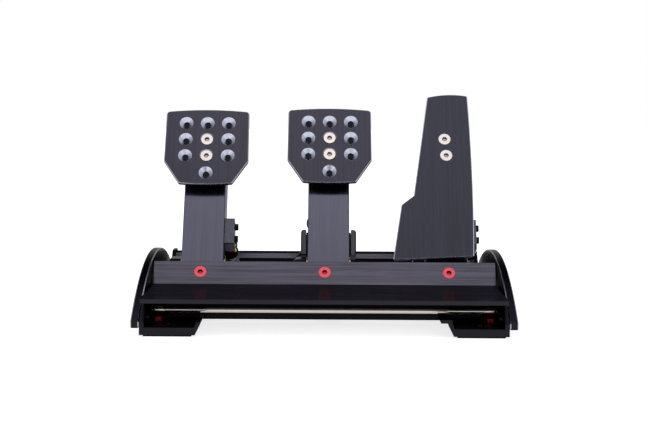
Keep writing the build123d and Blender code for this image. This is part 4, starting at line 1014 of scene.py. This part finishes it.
@dataclass
class LinkSpring:
    """A coil spring of a clutch or throttle link, carried by the link's tube.

    Attributes:
        pedal: Which pedal it belongs to.
        arm_x: Where that pedal's arm stands, in millimetres as all that follows.
        wire: The wire's diameter.
        curls: How many turns it has, the two closed ones included.
        shop: The workshop.
        link_across: How far the link lies to the right of the arm's middle.
        pin_up: How far up the arm the link's front pin is.
        pin_inset: How far that pin is behind the arm's front face.
        start: From the pin to the spring's front end.
        end: From the pin to its rear end.
        radius: From the spring's axis to the middle of the wire.
        closed_gap: The gap between an end turn and the next.
        slide: How far the spring shortens at the joint's limit; not used.
        run: How far the link runs to the rear over its fall.
        fall: How far it falls over its run.
        steps: How many straight bits make up one turn of the wire.
        sides: How many sides the wire has.
    """

    pedal: str
    arm_x: float
    wire: float
    curls: int
    shop: Workshop
    link_across: float = 26.7
    pin_up: float = 29.0
    pin_inset: float = 27.2
    start: float = 16.0
    end: float = 62.24
    radius: float = 6.9
    closed_gap: float = 0.5
    slide: float = 9.1
    run: float = 60.0
    fall: float = 42.0
    steps: int = 32
    sides: int = 14

    def axis(self) -> Vector:
        """The link's direction, from its front pin to its rear pin."""
        return Vector((0, self.run, -self.fall)).normalized()

    def pin(self) -> Vector:
        """The link's front pin."""
        return arm_place(self.link_across, self.pin_up, self.pin_inset, self.arm_x)

    def climb(self, tree: GeometryTree, turn: bpy.types.NodeSocket) -> bpy.types.NodeSocket:
        """How high the wire has climbed, little in the closed first and last turn.

        Args:
            tree: The spring's tree.
            turn: How many turns the wire has made.

        Returns:
            The height of the wire's middle.
        """
        open_curls = tree.math("SUBTRACT", "Curls", 2.0)
        open_room = tree.math("SUBTRACT", "Length", tree.math("MULTIPLY", "Closed", 2.0))
        pitch = tree.math("DIVIDE", tree.math("SUBTRACT", open_room, "Wire"), open_curls)
        first = tree.math("MULTIPLY", tree.math("MINIMUM", turn, 1.0), "Closed")
        middle_turn = tree.math("MAXIMUM", tree.math("SUBTRACT", turn, 1.0), 0.0)
        middle = tree.math("MULTIPLY", tree.math("MINIMUM", middle_turn, open_curls), pitch)
        last_turn = tree.math("SUBTRACT", tree.math("SUBTRACT", turn, "Curls"), -1.0)
        last = tree.math("MULTIPLY", tree.math("MAXIMUM", last_turn, 0.0), "Closed")
        climbed = tree.math("ADD", tree.math("ADD", first, middle), last)
        return tree.math("ADD", climbed, tree.math("MULTIPLY", "Wire", 0.5))

    def winding(self) -> GeometryTree:
        """The node tree that winds the spring up its own Z axis.

        Returns:
            The tree.
        """
        sizes = {
            "Radius": self.radius * MM,
            "Wire": self.wire * MM,
            "Length": (self.end - self.start) * MM,
            "Curls": self.curls,
            "Closed": (self.wire + self.closed_gap) * MM,
        }
        tree = GeometryTree(self.pedal + "_spring_winding", sizes)
        line = tree.add("GeometryNodeMeshLine")
        line.inputs["Count"].default_value = self.curls * self.steps + 1
        index = tree.add("GeometryNodeInputIndex")
        turn = tree.math("DIVIDE", index.outputs[0], float(self.steps))
        angle = tree.math("MULTIPLY", turn, 2 * math.pi)
        spot = tree.add("ShaderNodeCombineXYZ")
        tree.link(tree.math("MULTIPLY", tree.math("COSINE", angle), "Radius"), spot.inputs["X"])
        tree.link(tree.math("MULTIPLY", tree.math("SINE", angle), "Radius"), spot.inputs["Y"])
        tree.link(self.climb(tree, turn), spot.inputs["Z"])
        move = tree.add("GeometryNodeSetPosition")
        tree.link(line.outputs[0], move.inputs["Geometry"])
        tree.link(spot.outputs[0], move.inputs["Position"])
        curve = tree.add("GeometryNodeMeshToCurve")
        tree.link(move.outputs[0], curve.inputs[0])
        profile = tree.add("GeometryNodeCurvePrimitiveCircle")
        profile.inputs["Resolution"].default_value = self.sides
        tree.link(tree.math("MULTIPLY", "Wire", 0.5), profile.inputs["Radius"])
        tube = tree.add("GeometryNodeCurveToMesh")
        tube.inputs["Fill Caps"].default_value = True
        tree.link(curve.outputs[0], tube.inputs["Curve"])
        tree.link(profile.outputs[0], tube.inputs["Profile Curve"])
        smooth = tree.add("GeometryNodeSetShadeSmooth")
        tree.link(tube.outputs[0], smooth.inputs[0])
        tree.finish(smooth.outputs[0], self.shop.material(SPRING_STEEL))
        return tree

    def build(self) -> bpy.types.Object:
        """Wind the spring and place it on its link.

        Returns:
            The spring.
        """
        spring = self.winding().run(self.pedal + "_coil_spring")
        spring.data.transform(along(self.axis(), self.pin() + self.axis() * self.start * MM))
        self.shop.outward(spring)
        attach(spring, self.pedal + "_tube")
        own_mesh(spring)
        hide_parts(self.pedal + "_spring")
        LOG.info("%s spring: %d curls, %d faces", self.pedal, self.curls, len(spring.data.polygons))
        return spring


@dataclass
class BrakeStack:
    """The rubber rings and washers on the brake's piston rod.

    Attributes:
        shop: The workshop.
        pin_up: How far up the arm the link's pin is, in millimetres as all that follows.
        pin_inset: How far that pin is behind the arm's front face.
        start: From the pin to the first ring.
        ring: A rubber ring's thickness.
        washer: A washer's thickness.
        bore: The bore of both.
        ring_diameter: A rubber ring's outer diameter.
        washer_diameter: A washer's outer diameter.
        ring_rounding: The radius of a rubber ring's rims.
        washer_rounding: The radius of a washer's rims.
        count: How many there are of each.
        slide: How far the stack shortens at the joint's limit; not used.
        sides: How many sides a ring has.
        rim_sides: How many bits make up a rounded rim.
    """

    shop: Workshop
    pin_up: float = 30.6
    pin_inset: float = 12.4
    start: float = 53.3
    ring: float = 6.5
    washer: float = 1.5
    bore: float = 10.6
    ring_diameter: float = 28.0
    washer_diameter: float = 31.0
    ring_rounding: float = 2.2
    washer_rounding: float = 0.3
    count: int = 3
    slide: float = 4.8
    sides: int = 72
    rim_sides: int = 6

    def axis(self) -> Vector:
        """The link's direction to the rear."""
        return Vector((0, math.cos(BRAKE_DROP), -math.sin(BRAKE_DROP)))

    def pin(self) -> Vector:
        """The pin in the brake arm, from which places along the link are measured."""
        return arm_place(0, self.pin_up, self.pin_inset)

    def row(self, name: str, sizes: dict[str, float], finish: Brushed | Moulded) -> GeometryTree:
        """The node tree of a row of equal rings up its own Z axis, each with rounded rims.

        Args:
            name: The tree's name.
            sizes: First, Pitch, Thickness, Diameter, Bore and Rounding, in metres.
            finish: The rings' finish.

        Returns:
            The tree.
        """
        tree = GeometryTree(name, sizes)
        path = tree.add("GeometryNodeCurvePrimitiveCircle")
        path.inputs["Resolution"].default_value = self.sides
        middle = tree.math("MULTIPLY", tree.math("ADD", "Diameter", "Bore"), 0.25)
        tree.link(middle, path.inputs["Radius"])
        section = tree.add("GeometryNodeCurvePrimitiveQuadrilateral")
        width = tree.math("MULTIPLY", tree.math("SUBTRACT", "Diameter", "Bore"), 0.5)
        tree.link(width, section.inputs["Width"])
        tree.feed("Thickness", section.inputs["Height"])
        rims = tree.add("GeometryNodeFilletCurve", mode="POLY")
        rims.inputs["Count"].default_value = self.rim_sides
        tree.link(section.outputs[0], rims.inputs["Curve"])
        tree.feed("Rounding", rims.inputs["Radius"])
        ring = tree.add("GeometryNodeCurveToMesh")
        tree.link(path.outputs[0], ring.inputs["Curve"])
        tree.link(rims.outputs[0], ring.inputs["Profile Curve"])
        smooth = tree.add("GeometryNodeSetShadeSmooth")
        tree.link(ring.outputs[0], smooth.inputs[0])
        line = tree.add("GeometryNodeMeshLine")
        line.inputs["Count"].default_value = self.count
        for label, socket in (("First", "Start Location"), ("Pitch", "Offset")):
            spot = tree.add("ShaderNodeCombineXYZ")
            tree.feed(label, spot.inputs["Z"])
            tree.link(spot.outputs[0], line.inputs[socket])
        copies = tree.add("GeometryNodeInstanceOnPoints")
        tree.link(line.outputs[0], copies.inputs["Points"])
        tree.link(smooth.outputs[0], copies.inputs["Instance"])
        tree.finish(copies.outputs[0], self.shop.material(finish))
        return tree

    def place_row(self, piece: bpy.types.Object, node: str) -> None:
        """Set a row of rings on the piston and attach it to the base.

        Args:
            piece: The row.
            node: The node that it stands for.
        """
        axis = self.axis()
        piece.data.transform(along(axis, self.pin()))
        self.shop.outward(piece)
        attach(piece, "base")
        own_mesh(piece)
        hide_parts(node)

    def build(self) -> None:
        """Make the rings and the washers."""
        shared = {"Pitch": (self.ring + self.washer) * MM, "Bore": self.bore * MM}
        rings = shared | {
            "First": (self.start + self.ring / 2) * MM,
            "Thickness": self.ring * MM,
            "Diameter": self.ring_diameter * MM,
            "Rounding": self.ring_rounding * MM,
        }
        washers = shared | {
            "First": (self.start + self.ring + self.washer / 2) * MM,
            "Thickness": self.washer * MM,
            "Diameter": self.washer_diameter * MM,
            "Rounding": self.washer_rounding * MM,
        }
        rubber = self.row("rubber_ring_row", rings, RING_RUBBER)
        self.place_row(rubber.run("rubber_rings"), "brake_rubber_rings")
        steel = self.row("stack_washer_row", washers, TURNED_STEEL)
        self.place_row(steel.run("stack_washers"), "brake_stack_washers")
        LOG.info("brake stack: %d rings and %d washers", self.count, self.count)


@dataclass
class MotorLead:
    """The vibration motor's lead, down the brake arm and over the rear bar to the control box.

    Attributes:
        shop: The workshop.
        diameter: The lead's diameter in millimetres.
        steps: How many bits make up each stretch between two points.
        roundness: How finely the tube is rounded.
        arm_route: The points that it follows in the brake arm.
        base_route: The points that it follows from there to the control box.
        bend: Where it starts and stops turning with the arm; not used.
    """

    shop: Workshop
    diameter: float = 3.2
    steps: int = 10
    roundness: int = 5
    arm_route: list[Vector] = field(
        default_factory=lambda: [
            arm_place(-6, 77, 17),
            arm_place(-6, 73, 17),
            arm_place(-10, 71, 27),
            arm_place(-16, 69, 36),
            arm_place(-21.8, 64, 37.2),
            arm_place(-22, 56, 37.2),
            arm_place(-17, 50, 36.6),
            arm_place(-12.8, 44, 31),
            arm_place(-12.5, 32, 28),
            arm_place(-12.6, 22, 31),
            arm_place(-13.5, 14, 36),
            arm_place(-18, 9, 36.6),
            arm_place(-24.5, 8.8, 36.6),
        ]
    )
    base_route: list[Vector] = field(
        default_factory=lambda: [
            arm_place(-31, 8.8, 36.6),
            place(BRAKE_X - 36.5, 189, 40),
            place(BRAKE_X - 38, 205, 35.5),
            place(BRAKE_X - 38, 225, 32.5),
            place(BRAKE_X - 38.5, 247, 32.5),
            place(BRAKE_X - 38.5, 258, 35.5),
            place(BRAKE_X - 36.5, 264, 42),
            place(BRAKE_X - 29.5, 266, 49),
            place(BRAKE_X - 23.5, 273, 51),
            place(BRAKE_X - 22.3, 286, 51.2),
            place(BRAKE_X - 22.2, 298, 51.2),
            place(BRAKE_X - 22.2, 309, 51.2),
            place(BRAKE_X - 22.2, 309, 41.4),
        ]
    )
    bend: tuple[Vector, Vector] = field(
        default_factory=lambda: (place(BRAKE_X - 27, 182, 43), place(BRAKE_X - 37.5, 207, 35))
    )

    def line(self) -> bpy.types.Object:
        """Lay a smooth spline along the route and give it the lead's thickness.

        Returns:
            The curve object.
        """
        curve = bpy.data.curves.new("motor_cable", "CURVE")
        curve.dimensions = "3D"
        spline = curve.splines.new("NURBS")
        route = self.arm_route + self.base_route
        spline.points.add(len(route) - 1)
        for point, spot in zip(spline.points, route):
            point.co = (*spot, 1)
        spline.use_endpoint_u = True
        spline.order_u = 3
        spline.resolution_u = self.steps
        curve.bevel_depth = self.diameter / 2 * MM
        curve.bevel_resolution = self.roundness
        curve.use_fill_caps = True
        line = bpy.data.objects.new("motor_cable_line", curve)
        bpy.context.scene.collection.objects.link(line)
        return line

    def build(self) -> bpy.types.Object:
        """Make the lead as one smooth tube.

        Returns:
            The lead.
        """
        piece = keep_mesh(self.line(), "motor_cable")
        self.shop.dress(piece, LEAD_SKIN)
        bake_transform(piece)
        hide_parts("motor_lead", "brake_lead")
        LOG.info("motor cable: %d faces", len(piece.data.polygons))
        return piece


@dataclass(frozen=True)
class Lamp:
    """A soft rectangular lamp.

    Attributes:
        name: Its name.
        spot: Where it hangs, in metres.
        size: Its two sides in metres.
        power: Its power in watts.
        aim: What it points at.
    """

    name: str
    spot: tuple
    size: tuple
    power: float = 5.0
    aim: tuple = (0.0, 0.0, 0.1)

    def hang(self) -> None:
        """Hang the lamp and point it at its aim."""
        data = bpy.data.lights.new(self.name, "AREA")
        data.shape = "RECTANGLE"
        data.size, data.size_y = self.size
        data.energy = self.power
        lamp = bpy.data.objects.new(self.name, data)
        bpy.context.scene.collection.objects.link(lamp)
        turn = (Vector(self.aim) - Vector(self.spot)).to_track_quat("-Z", "Y").to_matrix().to_4x4()
        lamp.matrix_world = Matrix.Translation(self.spot) @ turn


@dataclass
class Studio:
    """The white studio: floor, world, lamps and the photograph's camera.

    Attributes:
        camera_place: Where the camera stands, in metres.
        pitch: How far it looks down.
        roll: How far it leans to the side.
        lens: Its focal length in millimetres.
        sensor: Its sensor's width in millimetres.
        clip: The nearest and the furthest that it sees, in metres.
        aim: The column of the photograph that it points at.
        width: The photograph's width in pixels.
        sky: How strongly the world lights the object.
        floor_half: Half the floor's side in metres.
        floor_tone: How pale the floor is.
        floor_glow: How much brighter the floor looks than the lamps make it.
        lamps: The lamps.
    """

    camera_place: tuple = (0.0, -1.560, 0.2388)
    pitch: float = math.radians(5.1)
    roll: float = math.radians(0.34)
    lens: float = 83.33
    sensor: float = 36.0
    clip: tuple = (0.05, 50.0)
    aim: float = 325.0
    width: float = 648.0
    sky: float = 0.55
    floor_half: float = 6.0
    floor_tone: float = 0.9
    floor_glow: float = 0.78
    lamps: tuple = (
        Lamp("top_lamp", (-0.3, -0.5, 2.2), (2.0, 1.4)),
        Lamp("front_lamp", (0.9, -2.2, 1.2), (1.4, 1.4)),
    )

    def camera(self) -> None:
        """Stand the camera where the photograph was taken from."""
        data = bpy.data.cameras.new("camera")
        data.lens = self.lens
        data.sensor_width = self.sensor
        data.shift_x = -(self.aim - self.width / 2) / self.width
        data.clip_start, data.clip_end = self.clip
        camera = bpy.data.objects.new("camera", data)
        bpy.context.scene.collection.objects.link(camera)
        tilt = Matrix.Rotation(math.pi / 2 - self.pitch, 4, "X")
        turn = tilt @ Matrix.Rotation(self.roll, 4, "Z")
        camera.matrix_world = Matrix.Translation(self.camera_place) @ turn
        bpy.context.scene.camera = camera

    def world(self) -> None:
        """A world that is white to the camera, glossy and transmission rays."""
        world = bpy.data.worlds.new("studio")
        bpy.context.scene.world = world
        world.use_nodes = True
        nodes = Tree(world.node_tree)
        nodes.tree.nodes.clear()
        output = nodes.add("ShaderNodeOutputWorld")
        mix = nodes.add("ShaderNodeMixShader")
        nodes.link(nodes.seen(), mix.inputs[0])
        # The first light falls on the object, and the second is the white that is seen.
        for strength, socket in ((self.sky, mix.inputs[1]), (1.0, mix.inputs[2])):
            white = nodes.add("ShaderNodeBackground")
            white.inputs["Color"].default_value = (1, 1, 1, 1)
            white.inputs["Strength"].default_value = strength
            nodes.link(white.outputs[0], socket)
        nodes.link(mix.outputs[0], output.inputs["Surface"])

    def floor(self) -> None:
        """A pale floor that is white to the camera and keeps a faint shadow."""
        mesh = bmesh.new()
        half = self.floor_half
        corners = [(-half, -half, 0), (half, -half, 0), (half, half, 0), (-half, half, 0)]
        mesh.faces.new([mesh.verts.new(corner) for corner in corners])
        data = bpy.data.meshes.new("floor")
        mesh.to_mesh(data)
        mesh.free()
        floor = bpy.data.objects.new("floor", data)
        bpy.context.scene.collection.objects.link(floor)
        nodes = MaterialTree("floor_white")
        diffuse = nodes.add("ShaderNodeBsdfDiffuse")
        diffuse.inputs["Color"].default_value = (self.floor_tone,) * 3 + (1,)
        glow = nodes.add("ShaderNodeEmission")
        strength = nodes.math("MULTIPLY", nodes.seen(), self.floor_glow)
        nodes.link(strength, glow.inputs["Strength"])
        both = nodes.add("ShaderNodeAddShader")
        nodes.link(diffuse.outputs[0], both.inputs[0])
        nodes.link(glow.outputs[0], both.inputs[1])
        nodes.link(both.outputs[0], nodes.output.inputs["Surface"])
        data.materials.append(nodes.material)

    def build(self) -> None:
        """Set up camera, world, floor and lamps."""
        self.camera()
        self.world()
        self.floor()
        for lamp in self.lamps:
            lamp.hang()


def note_sizes() -> None:
    """Update the view layer."""
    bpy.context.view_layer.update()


def main() -> None:
    """Set up the studio, dress the frame and build the soft and wound pieces."""
    logging.basicConfig(level=logging.INFO, format="%(name)s: %(message)s")
    Studio().build()
    shop = Workshop()
    dress_frame(shop)
    LinkSpring("clutch", CLUTCH_X, wire=2.0, curls=9, shop=shop).build()
    LinkSpring("throttle", THROTTLE_X, wire=1.8, curls=11, shop=shop).build()
    BrakeStack(shop).build()
    MotorLead(shop).build()
    bpy.context.scene.view_settings.view_transform = "Standard"
    note_sizes()


if __name__ == "__main__":
    main()
